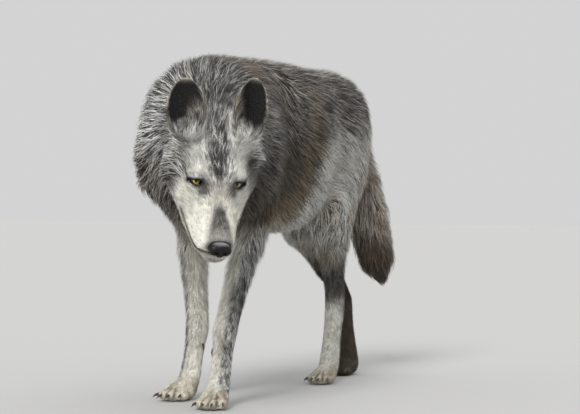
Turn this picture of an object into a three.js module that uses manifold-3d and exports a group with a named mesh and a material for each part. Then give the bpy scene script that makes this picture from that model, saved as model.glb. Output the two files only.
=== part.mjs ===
// A grey wolf in mid-walk, head low and turned to its left, as a still life-size model.
// Millimetres, +Z up. The wolf walks towards -Y and its left side is +X.
// The body is one smooth blend of tapered masses, read out to the tips of the coat. Each part is a
// tube of rays cast from its own bone line to that blend, and thin cuts keep the parts 0.6 mm apart.
import * as THREE from "three";
import { mergeVertices } from "three/addons/utils/BufferGeometryUtils.js";
import Module from "manifold-3d";

const wasm = await Module();
wasm.setup();

// ---- driving dimensions ----
const cutGap = 0.6; // between neighbouring parts
const backHeight = 790; // top of the coat along the back
const chestHalfWidth = 136;
const bellyHeight = 384; // underside of the belly coat
const withersY = -200;
const hipsY = 385;

const headYaw = 39; // degrees to the wolf's left
const headPitch = 43; // degrees down
const headRoll = 6; // degrees, the left eye a little lower
const eyesAt = new THREE.Vector3(187, -549, 497); // midpoint between the eyes
const eyeRadius = 13;
const eyeSpread = 44; // from the midline to each eye's centre
const eyeDepth = 7; // from the eyes' line back to each eye's centre
const eyeRise = 5;
const eyeOpening = [16, 12, 8]; // half width, half depth and half height between the lids
const mouthHeight = -65; // the closed lips, in the head's frame
const mouthCorner = -36;
const nosePad = [25, 16, 17]; // half width, half depth, half height
const nosePadAt = [0, -146, -44];
const earThickness = 7;
// share of the ear's length, half width of its opening there, how far its rims stand ahead of its back
const earOutline = [[0, 16, 36], [0.15, 31, 32], [0.35, 41, 26], [0.55, 40, 20], [0.75, 34, 13], [0.9, 23, 8], [1, 8, 3]];

const pawHalfWidth = 41;
const toeRadius = 15;
const clawLength = 19;
const clawRadius = 3.8;
const pawTop = 66; // where the paw meets the leg
const dewclawHeight = 128;

const V = (x, y, z) => new THREE.Vector3(x, y, z);
const deg = THREE.MathUtils.degToRad;
const bothSides = (build) => [1, -1].map(build);

// ---- the joints of each leg, from the trunk down ----
const legs = {
  fore_left: {
    side: 1, front: true, heading: 14,
    upper: V(86, -212, 560), middle: V(86, -186, 425), lower: V(66, -288, 172), paw: V(72, -336, 0),
  },
  fore_right: {
    side: -1, front: true, heading: -6,
    upper: V(-88, -205, 560), middle: V(-88, -172, 425), lower: V(-74, -166, 172), paw: V(-82, -204, 0),
  },
  hind_left: {
    side: 1, front: false, heading: 4,
    upper: V(48, 352, 556), middle: V(58, 266, 425), lower: V(32, 356, 205), paw: V(30, 318, 0),
  },
  hind_right: {
    side: -1, front: false, heading: -4,
    upper: V(-50, 380, 556), middle: V(-62, 340, 412), lower: V(-36, 536, 212), paw: V(-24, 560, 0),
  },
};

// ---- the head's own frame: eyes' midpoint at the origin, nose towards -Y, crown towards +Z ----
const headFrame = new THREE.Matrix4()
  .makeTranslation(eyesAt)
  .multiply(new THREE.Matrix4().makeRotationZ(deg(headYaw)))
  .multiply(new THREE.Matrix4().makeRotationX(deg(headPitch)))
  .multiply(new THREE.Matrix4().makeRotationY(deg(headRoll)));
const inHead = (x, y, z) => V(x, y, z).applyMatrix4(headFrame);
const headward = (x, y, z) => V(x, y, z).transformDirection(headFrame);

const ears = {
  left: { base: [50, 104, 72], tip: [63, 150, 183], open: [0.3, -0.9, 0.4] },
  right: { base: [-67, 104, 66], tip: [-84, 148, 167], open: [-0.2, -0.9, 0.4] },
};

// ---- masses: a line with a radius at each end; flat is width over depth across `side` ----
const masses = [];
let group = "";
const mass = (a, b, ra, rb, flat = 1, blend = 45, side = V(1, 0, 0)) =>
  masses.push({ group, a, ab: b.clone().sub(a), ra, rb, flat, blend, side });

function trunkMasses() {
  group = "trunk";
  mass(V(0, withersY, 588), V(0, 70, 588), 192, 190, chestHalfWidth / 192);
  mass(V(0, 60, 610), V(0, 320, 632), 172, 140, 0.7);
  mass(V(0, withersY, backHeight - 98), V(0, -60, backHeight - 92), 100, 92, 1.05);
  mass(V(0, -60, backHeight - 82), V(0, hipsY - 60, backHeight - 82), 86, 80, 1.1);
  mass(V(0, -90, bellyHeight + 96), V(0, 130, bellyHeight + 98), 96, 94, 0.95);
  mass(V(0, 130, bellyHeight + 110), V(0, 250, bellyHeight + 140), 90, 80, 0.95);
  mass(V(0, hipsY - 30, 664), V(0, hipsY + 50, 650), 108, 80, 0.85);
}

function neckMasses() {
  group = "neck";
  mass(V(10, -225, 640), V(132, -455, 592), 140, 108, 0.98);
  mass(V(-8, -215, 692), V(112, -430, 640), 100, 84);
  mass(V(18, -280, 545), V(122, -440, 520), 118, 84);
  mass(V(6, -285, 520), V(0, -235, 470), 104, 96, 1.1);
  mass(V(-28, -300, 682), V(-36, -330, 600), 96, 92);
  mass(V(10, -350, 600), V(-78, -366, 520), 96, 52);
}

function headMasses() {
  group = "head";
  const inner = (a, b, ra, rb, flat, blend) =>
    mass(inHead(...a), inHead(...b), ra, rb, flat, blend, headward(1, 0, 0));
  inner([0, 82, 2], [0, 42, 6], 66, 60, 1.12, 30); // skull
  inner([0, 30, 2], [0, -8, -8], 44, 31, 1.32, 26); // forehead
  inner([0, 40, -58], [0, 96, -62], 54, 66, 1.2, 30); // throat
  inner([0, -18, -28], [0, -126, -46], 43, 27, 1.08, 20); // muzzle
  inner([0, -18, -74], [0, -122, -84], 34, 22, 1.4, 14); // lower jaw
  Object.values(ears).forEach(({ base: [x, y, z] }) => {
    inner([0.5 * x, 86, 16], [0.86 * x, y, z - 26], 46, 30, 1, 24); // ear root
  });
  bothSides((s) => {
    inner([s * 41, 22, -22], [s * 47, 52, -28], 30, 36, 1, 24); // cheekbone
    inner([s * 39, -22, -58], [s * 46, 30, -54], 31, 36, 1, 24); // jowl
    const flew = s < 0 ? 14 : -2; // its right lip hangs fuller
    inner([s * (25 + flew), -38, -55], [s * (17 + flew), -118, -58], 32, 22, 1, 14); // upper lip
    inner([s * 50, 66, -34], [s * 86, 90, -56], 48, 28, 1, 30); // cheek ruff
    inner([s * 33, -4, 12], [s * 38, 20, 24], 11, 15, 1.3, 18); // brow
  });
}

function legMasses([name, { side, front, upper, middle, lower, paw }]) {
  const ankle = paw.clone().lerp(lower, 0.3);
  if (front) {
    group = "shoulder";
    mass(V(side * 62, withersY - 4, 690), upper, 78, 84, 0.8);
    mass(upper, middle, 84, 58, 0.78);
    group = name;
    mass(middle, middle.clone().lerp(lower, 0.5), 50, 34, 0.95, 34);
    mass(middle.clone().lerp(lower, 0.5), lower, 34, 27, 1, 20);
    mass(middle.clone().add(V(side * 2, 22, -6)), middle.clone().add(V(0, 12, -70)), 30, 20, 0.8, 30);
  } else {
    group = "haunch";
    mass(V(side * 44, hipsY, 668), V(side * 46, hipsY, 618), 88, 98, 0.64);
    group = name;
    mass(upper, middle, 92, 68, 0.66);
    mass(upper.clone().add(V(0, 30, 0)), middle.clone().lerp(lower, 0.3).add(V(0, 30, 30)), 66, 40, 0.8);
    mass(middle, middle.clone().lerp(lower, 0.55), 60, 36, 0.8, 36);
    mass(middle.clone().lerp(lower, 0.55), lower, 36, 26, 0.85, 24);
  }
  mass(lower, ankle, 27, 23, 1, 16);
  mass(ankle, paw.clone().add(V(0, 0, 30)), 23, 25, 1.1, 14);
}

const tailLine = [
  V(0, 440, 694), V(4, 505, 640), V(12, 553, 520), V(18, 582, 410), V(28, 614, 305), V(36, 640, 246),
];
const tailRadii = [44, 48, 51, 56, 52, 16];
function tailMasses() {
  group = "tail";
  tailRadii.slice(1).forEach((r, i) => mass(tailLine[i], tailLine[i + 1], tailRadii[i], r, 1, 20));
}

trunkMasses();
neckMasses();
headMasses();
Object.entries(legs).forEach(legMasses);
tailMasses();

// ---- the blended surface: below 0 inside ----
const scratch = V(0, 0, 0);
const probe = V(0, 0, 0);
function distance(p, chosen) {
  let d = 1e6;
  for (const m of chosen) {
    scratch.subVectors(p, m.a);
    const t = THREE.MathUtils.clamp(scratch.dot(m.ab) / m.ab.lengthSq(), 0, 1);
    scratch.addScaledVector(m.ab, -t);
    const across = scratch.dot(m.side);
    const squashed = scratch.lengthSq() + across * across * (1 / (m.flat * m.flat) - 1);
    const here = (Math.sqrt(squashed) - m.ra - (m.rb - m.ra) * t) * Math.min(1, m.flat);
    const near = Math.max(m.blend - Math.abs(d - here), 0);
    d = Math.min(d, here) - (near * near) / (4 * m.blend);
  }
  return d;
}

// How far along the unit vector `along` the blended surface, grown by `grow`, is from `from`.
function reach(from, along, chosen, grow) {
  const outside = (t) => distance(probe.copy(from).addScaledVector(along, t), chosen) > grow;
  const step = 5;
  const most = 400;
  let far = step;
  while (far < most && !outside(far)) far += step;
  let near = far - step;
  for (let i = 0; i < 12; i++) {
    const mid = (near + far) / 2;
    if (outside(mid)) far = mid;
    else near = mid;
  }
  return near;
}

// ---- solids ----
function solidOf(geometry) {
  const bare = geometry.clone();
  Object.keys(bare.attributes).forEach((k) => k !== "position" && bare.deleteAttribute(k));
  const merged = mergeVertices(bare, 1e-3);
  return new wasm.Manifold(
    new wasm.Mesh({
      numProp: 3,
      vertProperties: new Float32Array(merged.attributes.position.array),
      triVerts: new Uint32Array(merged.index.array),
    }),
  );
}

function geometryOf(solid) {
  const { numProp, numVert, vertProperties, triVerts } = solid.getMesh();
  const positions = new Float32Array(numVert * 3);
  for (let i = 0; i < numVert; i++) {
    positions.set(vertProperties.subarray(i * numProp, i * numProp + 3), i * 3);
  }
  const made = new THREE.BufferGeometry();
  made.setAttribute("position", new THREE.BufferAttribute(positions, 3));
  made.setIndex(new THREE.BufferAttribute(triVerts, 1));
  made.computeVertexNormals();
  return made;
}

// A closed skin over rings of points, with one point at each end. Rings run anticlockwise, seen from `last`.
function skinOver(first, rings, last) {
  const around = rings[0].length;
  const points = [first, ...rings.flat(), last];
  const index = [];
  const at = (ring, i) => 1 + ring * around + (i % around);
  for (let i = 0; i < around; i++) {
    index.push(0, at(0, i + 1), at(0, i));
    for (let r = 0; r < rings.length - 1; r++) {
      index.push(at(r, i), at(r, i + 1), at(r + 1, i + 1), at(r, i), at(r + 1, i + 1), at(r + 1, i));
    }
    index.push(points.length - 1, at(rings.length - 1, i), at(rings.length - 1, i + 1));
  }
  const made = new THREE.BufferGeometry();
  made.setAttribute("position", new THREE.Float32BufferAttribute(points.flatMap((p) => p.toArray()), 3));
  made.setIndex(index);
  return made;
}

// A closed skin over flat rings, each one the front of a wall from rim to rim and then its back.
function cuppedSkin(rings) {
  const around = rings[0].length;
  const last = (rings.length - 1) * around;
  const index = [];
  for (let i = 0; i < around; i++) {
    const next = (i + 1) % around;
    for (let low = 0; low < last; low += around) {
      index.push(low + i, low + next, low + around + next, low + i, low + around + next, low + around + i);
    }
  }
  for (let i = 0; i < around / 2 - 1; i++) {
    const back = around - 1 - i;
    index.push(i, back, back - 1, i, back - 1, i + 1);
    index.push(last + i, last + i + 1, last + back - 1, last + i, last + back - 1, last + back);
  }
  const made = new THREE.BufferGeometry();
  made.setAttribute("position", new THREE.Float32BufferAttribute(rings.flat().flatMap((p) => p.toArray()), 3));
  made.setIndex(index);
  return made;
}

// Rays round a bone line reach out to the blended surface; domes of rays close its two ends.
function tube(line, around, along, groups, { domes = 3, up = V(0, 0, 1), grow = 0 } = {}) {
  const chosen = masses.filter((m) => groups.includes(m.group));
  const curve = new THREE.CatmullRomCurve3(line, false, "centripetal");
  const cast = (point, ray) => point.clone().addScaledVector(ray, reach(point, ray, chosen, grow));
  const ringAt = (point, forward, tilt) => {
    const side = V(0, 0, 0).crossVectors(up, forward).normalize();
    const over = V(0, 0, 0).crossVectors(forward, side).normalize();
    return Array.from({ length: around }, (_, i) => {
      const angle = (i / around) * 2 * Math.PI;
      const ray = V(0, 0, 0)
        .addScaledVector(side, Math.cos(angle) * Math.cos(tilt))
        .addScaledVector(over, Math.sin(angle) * Math.cos(tilt))
        .addScaledVector(forward, Math.sin(tilt));
      return cast(point, ray);
    });
  };
  const tilts = Array.from({ length: domes }, (_, i) => ((i + 1) / (domes + 1)) * (Math.PI / 2));
  const [start, end] = [curve.getPointAt(0), curve.getPointAt(1)];
  const [startForward, endForward] = [curve.getTangentAt(0), curve.getTangentAt(1)];
  const rings = tilts.toReversed().map((tilt) => ringAt(start, startForward, -tilt));
  for (let i = 0; i <= along; i++) {
    rings.push(ringAt(curve.getPointAt(i / along), curve.getTangentAt(i / along), 0));
  }
  tilts.forEach((tilt) => rings.push(ringAt(end, endForward, tilt)));
  return solidOf(skinOver(cast(start, startForward.clone().negate()), rings, cast(end, endForward)));
}

// A frame at a point, its +Z along `ahead` and its +Y as near to `up` as can be.
function frameAt(point, ahead, up = V(0, 0, 1)) {
  const z = ahead.clone().normalize();
  const x = V(0, 0, 0).crossVectors(up, z).normalize();
  const y = V(0, 0, 0).crossVectors(z, x);
  return new THREE.Matrix4().makeBasis(x, y, z).setPosition(point);
}

// A zone is what lies behind all of its planes, each [point, outward normal]; `grow` moves them out.
const allSpace = 2400;
function zoneSolid(planes, grow = 0) {
  return planes
    .map(([point, outward]) => {
      const upright = Math.abs(outward.z) > 0.9 * outward.length() ? V(0, 1, 0) : V(0, 0, 1);
      const made = new THREE.BoxGeometry(allSpace, allSpace, allSpace).translate(0, 0, grow - allSpace / 2);
      return solidOf(made.applyMatrix4(frameAt(point, outward, upright)));
    })
    .reduce((a, b) => a.intersect(b));
}

function ellipsoid(middle, radii, frame = new THREE.Matrix4(), around = 10, along = 7) {
  const made = new THREE.SphereGeometry(1, around, along).rotateX(Math.PI / 2);
  made.scale(...radii).translate(...middle);
  return solidOf(made.applyMatrix4(frame));
}

// ---- where one part ends and the next begins ----
const planes = {
  head: [[inHead(0, 112, 0), headward(0, 0.93, -0.36)]],
  muzzle: [[inHead(0, -28, 0), headward(0, 1, -0.1)]],
  jaw: [[inHead(0, 0, mouthHeight), headward(0, 0.03, 1)], [inHead(0, mouthCorner, 0), headward(0, 1, 0.6)]],
  neck: [[V(0, -248, 620), V(-0.22, 0.88, -0.42)]],
  left: [[V(0.4, 0, 0), V(-1, 0, 0)]],
  right: [[V(-0.4, 0, 0), V(1, 0, 0)]],
  aboveFloor: [[V(0, 0, 0), V(0, 0, -1)]],
};
const zone = (name, grow) => zoneSolid(planes[name], grow);

// ---- colours and finishes ----
const finish = (color, roughness) => new THREE.MeshStandardMaterial({ color, roughness, metalness: 0 });
const coatGrey = finish("#5a5651", 0.95);
const faceSilver = finish("#b9b8b2", 0.92);
const legSilver = finish("#9b9992", 0.92);
const haunchBrown = finish("#7d7264", 0.95);
const tailBrown = finish("#4a382e", 0.95);
const earDark = finish("#3b3834", 0.92);
const noseBlack = finish("#1c1b1d", 0.4);
const eyeAmber = finish("#b88e2c", 0.08);
const clawHorn = finish("#2a2622", 0.35);

const wolf = new THREE.Group();
function place(name, solid, material, parent = wolf) {
  parent.updateWorldMatrix(true, false);
  const geometry = geometryOf(solid).applyMatrix4(parent.matrixWorld.clone().invert());
  const mesh = new THREE.Mesh(geometry, material);
  mesh.name = name;
  parent.add(mesh);
}

// ---- head ----
const headLine = [
  inHead(0, -132, -54), inHead(0, -72, -50), inHead(0, -10, -30), inHead(0, 60, -12), inHead(0, 130, -14),
];
const headTube = (grow = 0) => tube(headLine, 22, 16, ["head", "neck"], { up: headward(0, 0, 1), grow });
const eyeMiddle = (s) => [s * eyeSpread, eyeDepth, eyeRise];
const eyeBall = (s, grow = 0) =>
  ellipsoid(eyeMiddle(s), Array(3).fill(eyeRadius + grow), headFrame, 12, 7);
const lidOpening = (s) => {
  const frame = headFrame.clone().multiply(new THREE.Matrix4().makeTranslation(...eyeMiddle(s)));
  frame.multiply(new THREE.Matrix4().makeRotationZ(deg(s * 18)));
  frame.multiply(new THREE.Matrix4().makeRotationY(deg(s * -12)));
  return ellipsoid([0, -eyeRadius - 2, 1], eyeOpening, frame, 12, 6);
};
const nostril = (s) => ellipsoid([s * 10, nosePadAt[1] - 14, nosePadAt[2] - 1], [5, 8, 4.5], headFrame, 7, 5);
const nosePart = (grow = 0) => {
  const whole = ellipsoid(nosePadAt, nosePad.map((r) => r + grow), headFrame, 10, 7);
  return grow ? whole : bothSides(nostril).reduce((made, hole) => made.subtract(hole), whole);
};

// A cupped shell: its rims stand forward of its back, and it narrows to a rounded tip.
function earSolid({ base, tip, open }) {
  const root = inHead(...base);
  const up = inHead(...tip).sub(root);
  const length = up.length();
  up.normalize();
  const across = V(0, 0, 0).crossVectors(up, headward(...open)).normalize();
  const ahead = V(0, 0, 0).crossVectors(across, up).normalize();
  const rows = earOutline.length;
  const columns = 8;
  // one place on the ear: its row, the share of the way from one rim to the other (-1 to 1), front or back
  const point = (row, s, back) => {
    const [t, half, depth] = earOutline[row];
    const radius = (half * half + depth * depth) / (2 * depth);
    const angle = 2 * Math.atan(depth / half) * s;
    const thickness = back * earThickness * (1 - 0.5 * s ** 4);
    return root.clone()
      .addScaledVector(up, t * length)
      .addScaledVector(across, (radius + thickness) * Math.sin(angle))
      .addScaledVector(ahead, radius - (radius + thickness) * Math.cos(angle));
  };
  const steps = Array.from({ length: columns }, (_, i) => (2 * i) / (columns - 1) - 1);
  const rings = earOutline.map((_, row) => [
    ...steps.map((s) => point(row, s, 0)), ...steps.toReversed().map((s) => point(row, s, 1)),
  ]);
  return solidOf(cuppedSkin(rings));
}

function buildHead() {
  const group = new THREE.Group();
  group.applyMatrix4(headFrame);
  wolf.add(group);
  const whole = headTube().intersect(zone("head", 0));
  let skull = whole.subtract(zone("muzzle", cutGap)).subtract(zone("jaw", cutGap));
  for (const [s, name] of [[1, "left"], [-1, "right"]]) {
    skull = skull.subtract(eyeBall(s, cutGap)).subtract(lidOpening(s));
    place("eye_" + name, eyeBall(s), eyeAmber, group);
    place("ear_" + name, earSolid(ears[name]).subtract(headTube(cutGap)), earDark, group);
  }
  place("head", skull, faceSilver, group);
  const muzzle = whole.intersect(zone("muzzle")).subtract(zone("jaw", cutGap)).subtract(nosePart(cutGap));
  place("muzzle", muzzle, faceSilver, group);
  place("jaw", whole.intersect(zone("jaw")).subtract(nosePart(cutGap)), faceSilver, group);
  place("nose", nosePart(), noseBlack, group);
}

// ---- neck, trunk and tail ----
const neckLine = [inHead(0, 66, -10), V(100, -400, 585), V(20, -240, 615), V(0, -140, 610)];
const trunkLine = [V(14, -330, 600), V(0, -60, 592), V(0, 180, 610), V(0, 400, 668)];
const trunkGroups = ["trunk", "shoulder", "haunch", "neck"];
const trunkTube = (grow = 0) => tube(trunkLine, 22, 17, trunkGroups, { grow });

function buildBody() {
  const neck = tube(neckLine, 20, 8, [...trunkGroups, "head"]).intersect(zone("neck"));
  place("neck", neck.subtract(zone("head", cutGap)), coatGrey);
  place("trunk", trunkTube().subtract(zone("neck", cutGap)), coatGrey);
  place("tail", tube(tailLine, 12, 11, ["tail"], { up: V(0, -1, 0) }).subtract(trunkTube(cutGap)), tailBrown);
}

// ---- legs and paws ----
// A claw in its own frame: its root at the origin, forward along -Y and curving down.
function clawGeometry(grow = 0) {
  const sides = 5;
  const rings = [0, 0.5].map((t) =>
    Array.from({ length: sides }, (_, i) => {
      const angle = (i / sides) * 2 * Math.PI;
      const radius = clawRadius * (1 - 0.75 * t ** 1.5) + grow;
      return V(0.75 * radius * Math.cos(angle), -t * clawLength, radius * Math.sin(angle) - 6 * t * t);
    }),
  );
  return skinOver(V(0, 2 + grow, 0), rings, V(0, -clawLength - grow, -7.5));
}

function toePlaces(front) {
  const spread = front ? 1 : 0.86;
  return [-1.5, -0.5, 0.5, 1.5].map((step) => {
    const outer = Math.abs(step) > 1;
    return { x: step * 18 * spread, y: outer ? -50 : -66, turn: step * 9 * spread };
  });
}

// Adds a claw to a group and gives the hollow that it sits in, in the wolf's own frame.
function addClaw(name, group, position, rotation) {
  const claw = new THREE.Mesh(clawGeometry(), clawHorn);
  claw.name = name;
  claw.position.set(...position);
  claw.rotation.set(...rotation.map(deg), "ZYX");
  group.add(claw);
  claw.updateWorldMatrix(true, false);
  return solidOf(clawGeometry(cutGap).applyMatrix4(claw.matrixWorld));
}

function buildPaw(name, { front, heading, paw }, leg) {
  const group = new THREE.Group();
  group.position.copy(paw);
  group.rotation.z = deg(heading);
  wolf.add(group);
  group.updateWorldMatrix(true, false);
  const width = pawHalfWidth * (front ? 1 : 0.88);
  let pad = ellipsoid([0, -20, 22], [width * 0.86, 46, 28], group.matrixWorld, 8, 5);
  const hollows = toePlaces(front).map(({ x, y, turn }, i) => {
    const toe = new THREE.Matrix4().makeTranslation(x, y, 0).multiply(new THREE.Matrix4().makeRotationZ(deg(turn)));
    const radii = [toeRadius - 1, 27, toeRadius];
    pad = pad.add(ellipsoid([0, 0, toeRadius - 1.5], radii, group.matrixWorld.clone().multiply(toe), 6, 4));
    const root = [x + Math.sin(deg(turn)) * 20, y - 20, toeRadius + 1];
    return addClaw(`${name}_claw_${i + 1}`, group, root, [0, 0, turn]);
  });
  pad = pad.add(leg.intersect(zone(name + "_paw"))).intersect(zone("aboveFloor"));
  place(name + "_paw", hollows.reduce((made, hollow) => made.subtract(hollow), pad), legSilver, group);
}

function buildLeg(name, leg) {
  const { front, side, middle, upper, lower, paw } = leg;
  planes[name + "_paw"] = [[paw.clone().lerp(lower, pawTop / lower.z), V(0, 0.25, 1)]];
  const foot = paw.clone().setZ(34);
  const line = front ? [middle, middle.clone().lerp(lower, 0.5), lower, foot] : [upper, middle, lower, foot];
  let whole = tube(line, 12, front ? 12 : 15, [name], { up: V(0, -1, 0), domes: 2 });
  whole = whole.subtract(trunkTube(cutGap)).intersect(zone(side > 0 ? "left" : "right"));
  buildPaw(name, leg, whole);
  if (front) {
    const root = paw.clone().lerp(lower, dewclawHeight / lower.z).add(V(-side * 23, -4, 0));
    whole = whole.subtract(addClaw(name + "_dewclaw", wolf, root.toArray(), [60, 0, -side * 70]));
  }
  place(name + "_leg", whole.subtract(zone(name + "_paw", cutGap)), front ? legSilver : haunchBrown);
}

buildHead();
buildBody();
Object.entries(legs).forEach(([name, leg]) => buildLeg(name, leg));

// The middle of the wolf's footprint, at the height of its soles, is the model's origin.
const box = new THREE.Box3().setFromObject(wolf, true);
const middle = box.getCenter(V(0, 0, 0));
wolf.position.set(-middle.x, -middle.y, -box.min.z);

export default wolf;
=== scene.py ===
import math

import bpy
import numpy as np
import openvdb
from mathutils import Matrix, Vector


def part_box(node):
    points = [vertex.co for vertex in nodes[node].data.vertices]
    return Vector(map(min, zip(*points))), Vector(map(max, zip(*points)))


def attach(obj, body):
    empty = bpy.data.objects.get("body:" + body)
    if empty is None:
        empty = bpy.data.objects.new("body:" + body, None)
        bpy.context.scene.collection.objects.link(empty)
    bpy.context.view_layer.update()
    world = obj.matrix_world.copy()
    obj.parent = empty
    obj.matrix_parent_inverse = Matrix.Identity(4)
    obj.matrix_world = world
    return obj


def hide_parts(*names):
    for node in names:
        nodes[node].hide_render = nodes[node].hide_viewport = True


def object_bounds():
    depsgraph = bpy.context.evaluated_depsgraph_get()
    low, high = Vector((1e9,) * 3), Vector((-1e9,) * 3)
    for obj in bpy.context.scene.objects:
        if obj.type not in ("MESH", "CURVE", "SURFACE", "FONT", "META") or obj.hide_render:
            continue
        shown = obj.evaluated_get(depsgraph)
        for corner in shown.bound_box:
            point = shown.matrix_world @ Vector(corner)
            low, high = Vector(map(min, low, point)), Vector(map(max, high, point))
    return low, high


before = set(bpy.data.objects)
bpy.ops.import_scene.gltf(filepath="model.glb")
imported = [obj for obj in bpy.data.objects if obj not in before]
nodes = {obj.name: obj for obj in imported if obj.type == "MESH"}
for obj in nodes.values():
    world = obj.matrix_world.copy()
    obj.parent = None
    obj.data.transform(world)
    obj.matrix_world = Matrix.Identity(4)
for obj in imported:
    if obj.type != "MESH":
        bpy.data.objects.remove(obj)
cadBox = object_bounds()
mm = 0.001
up = np.array([0.0, 0.0, 1.0])


# small helpers for arrays of points, one point per row
def unit(v):
    return v / np.maximum(np.linalg.norm(v, axis=-1, keepdims=True), 1e-12)


def ease(low, high, value):
    t = np.clip((value - low) / (high - low), 0, 1)
    return t * t * (3 - 2 * t)


def blend(a, b, share):
    return a + (b - a) * share


def paint(under, over, share):
    return under + (np.asarray(over) - under) * share[:, None]


# screen values from 0 to 255 as linear light
def colour(red, green, blue):
    shares = np.array([red, green, blue]) / 255
    return np.where(shares <= 0.04045, shares / 12.92, ((shares + 0.055) / 1.055) ** 2.4)


# a place that is given for the left side, on the left (1) or the right (-1)
def mirror(place, side):
    return (side * place[0], place[1], place[2])


# coordinates along some axes, from a middle, of places given as x, y and z
def measured(axes, middle, x, y, z):
    offsets = [v - m for v, m in zip((x, y, z), middle)]
    return [sum(o * t for o, t in zip(offsets, axis)) for axis in axes]


def boxMiddle(node):
    low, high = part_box(node)
    return np.array((low + high) / 2)


def verticesOf(node):
    mesh = nodes[node].data
    flat = np.empty(len(mesh.vertices) * 3, np.float32)
    mesh.vertices.foreach_get("co", flat)
    return flat.reshape(-1, 3)


# middles of a node's cross-sections, from its lowest to its highest along one axis
def middles(node, axis, count, margin=0.06, slab=0.6):
    points = verticesOf(node)
    low, high = points[:, axis].min(), points[:, axis].max()
    made = []
    for share in np.linspace(margin, 1 - margin, count):
        near = points[abs(points[:, axis] - blend(low, high, share)) < slab * (high - low) / count]
        made.append((near.min(0) + near.max(0)) / 2)
    return np.array(made)


# the head's own axes: x to the wolf's left, y to the back of the head, z to the crown
head = {
    "noseDrop": 17.8,  # degrees that the nose lies under the eyes' level
    "eyeMiddle": (44, 7, 5),  # mm, mirrored for the right eye
    "eyeRadius": 13,
}


def headAxes():
    left, right, tip = (boxMiddle(node) for node in ("eye_left", "eye_right", "nose"))
    across = unit(left - right)
    middle = (left + right) / 2
    toNose = tip - middle
    toNose = unit(toNose - (toNose @ across) * across)
    square = np.cross(across, toNose)
    drop = math.radians(head["noseDrop"])
    back = -math.cos(drop) * toNose + math.sin(drop) * square
    crown = -math.sin(drop) * toNose - math.cos(drop) * square
    axes = np.array([across, back, crown])
    return middle - np.array([0, *head["eyeMiddle"][1:]]) * mm @ axes, axes


headOrigin, headTurn = headAxes()


# from millimetres in the head's axes to the frame, and back
def inHead(*place):
    return headOrigin + np.array(place) * mm @ headTurn


def toHead(points):
    return (points - headOrigin) @ headTurn.T / mm


# camera, floor and light
camera = {
    "azimuth": 27,  # degrees to the wolf's left of straight ahead
    "distance": 5.0,
    "height": 0.5,
    "aim": (0.0306, -0.018, 0.447),
    "lens": 130.3,
    "sensor": 36,
    "seesTo": 100,
}
studio = {
    "floor": (0.46, 0.46, 0.455),
    "floorSize": 40,
    "world": (0.985, 0.99, 0.985),
    "worldStrength": 0.66,
    # each sun: where it shines from, its softness in degrees, its strength and tint
    "key": {"source": (1.3, -6.0, 4.4), "softness": 20, "strength": 2.65, "tint": (1.0, 0.98, 0.95)},
    "top": {"source": (0.5, 0.8, 4.0), "softness": 60, "strength": 0.8, "tint": (1.0, 1.0, 1.0)},
}


def addCamera():
    angle = math.radians(camera["azimuth"])
    aim = Vector(camera["aim"])
    data = bpy.data.cameras.new("camera")
    data.lens = camera["lens"]
    data.sensor_width = camera["sensor"]
    data.clip_end = camera["seesTo"]
    made = bpy.data.objects.new("camera", data)
    away = Vector((math.sin(angle), -math.cos(angle), 0)) * camera["distance"]
    made.location = (aim.x + away.x, aim.y + away.y, camera["height"])
    made.rotation_euler = (aim - made.location).to_track_quat("-Z", "Y").to_euler()
    bpy.context.scene.collection.objects.link(made)
    bpy.context.scene.camera = made


def addSun(name, source, softness, strength, tint):
    data = bpy.data.lights.new(name, "SUN")
    data.angle = math.radians(softness)
    data.energy = strength
    data.color = tint
    made = bpy.data.objects.new(name, data)
    made.rotation_euler = Vector(source).to_track_quat("Z", "Y").to_euler()
    bpy.context.scene.collection.objects.link(made)


def addStudio():
    world = bpy.data.worlds.new("studio")
    world.use_nodes = True
    background = world.node_tree.nodes["Background"]
    background.inputs["Color"].default_value = (*studio["world"], 1)
    background.inputs["Strength"].default_value = studio["worldStrength"]
    bpy.context.scene.world = world
    for name in ("key", "top"):
        addSun(name, **studio[name])
    bpy.context.scene.view_settings.view_transform = "Standard"


# shader maths: a wrapped socket takes + - and * as Math nodes
class Shade:
    def __init__(self, tree, socket):
        self.tree = tree
        self.socket = socket

    # an input's name has _ for its spaces, and a number is written _0, _1 and so on
    def node(self, kind, settings=None, **inputs):
        made = self.tree.nodes.new(kind)
        for name, value in (settings or {}).items():
            setattr(made, name, value)
        for name, value in inputs.items():
            key = int(name[1:]) if name[1:].isdigit() else name.replace("_", " ")
            if isinstance(value, Shade):
                self.tree.links.new(value.socket, made.inputs[key])
            else:
                made.inputs[key].default_value = value
        return made

    def take(self, made, output=0):
        return Shade(self.tree, made.outputs[output])

    def maths(self, operation, a, b):
        return self.take(self.node("ShaderNodeMath", {"operation": operation}, _0=a, _1=b))

    def __add__(self, other):
        return self.maths("ADD", self, other)

    def __radd__(self, other):
        return self.maths("ADD", other, self)

    def __sub__(self, other):
        return self.maths("SUBTRACT", self, other)

    def __rsub__(self, other):
        return self.maths("SUBTRACT", other, self)

    def __mul__(self, other):
        return self.maths("MULTIPLY", self, other)

    def __rmul__(self, other):
        return self.maths("MULTIPLY", other, self)

    def between(self, low, high):
        settings = {"interpolation_type": "SMOOTHSTEP"}
        return self.take(self.node("ShaderNodeMapRange", settings, _0=self, _1=low, _2=high))

    # self is the share of `over` laid on `under`, both colours
    def tint(self, under, over):
        under, over = (c if isinstance(c, Shade) else (*c, 1) for c in (under, over))
        return self.take(self.node("ShaderNodeMix", {"data_type": "RGBA"}, _0=self, _6=under, _7=over), 2)

    # self is a colour, made lighter or darker
    def scaled(self, share):
        return self.take(self.node("ShaderNodeVectorMath", {"operation": "SCALE"}, _0=self, Scale=share))


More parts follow.
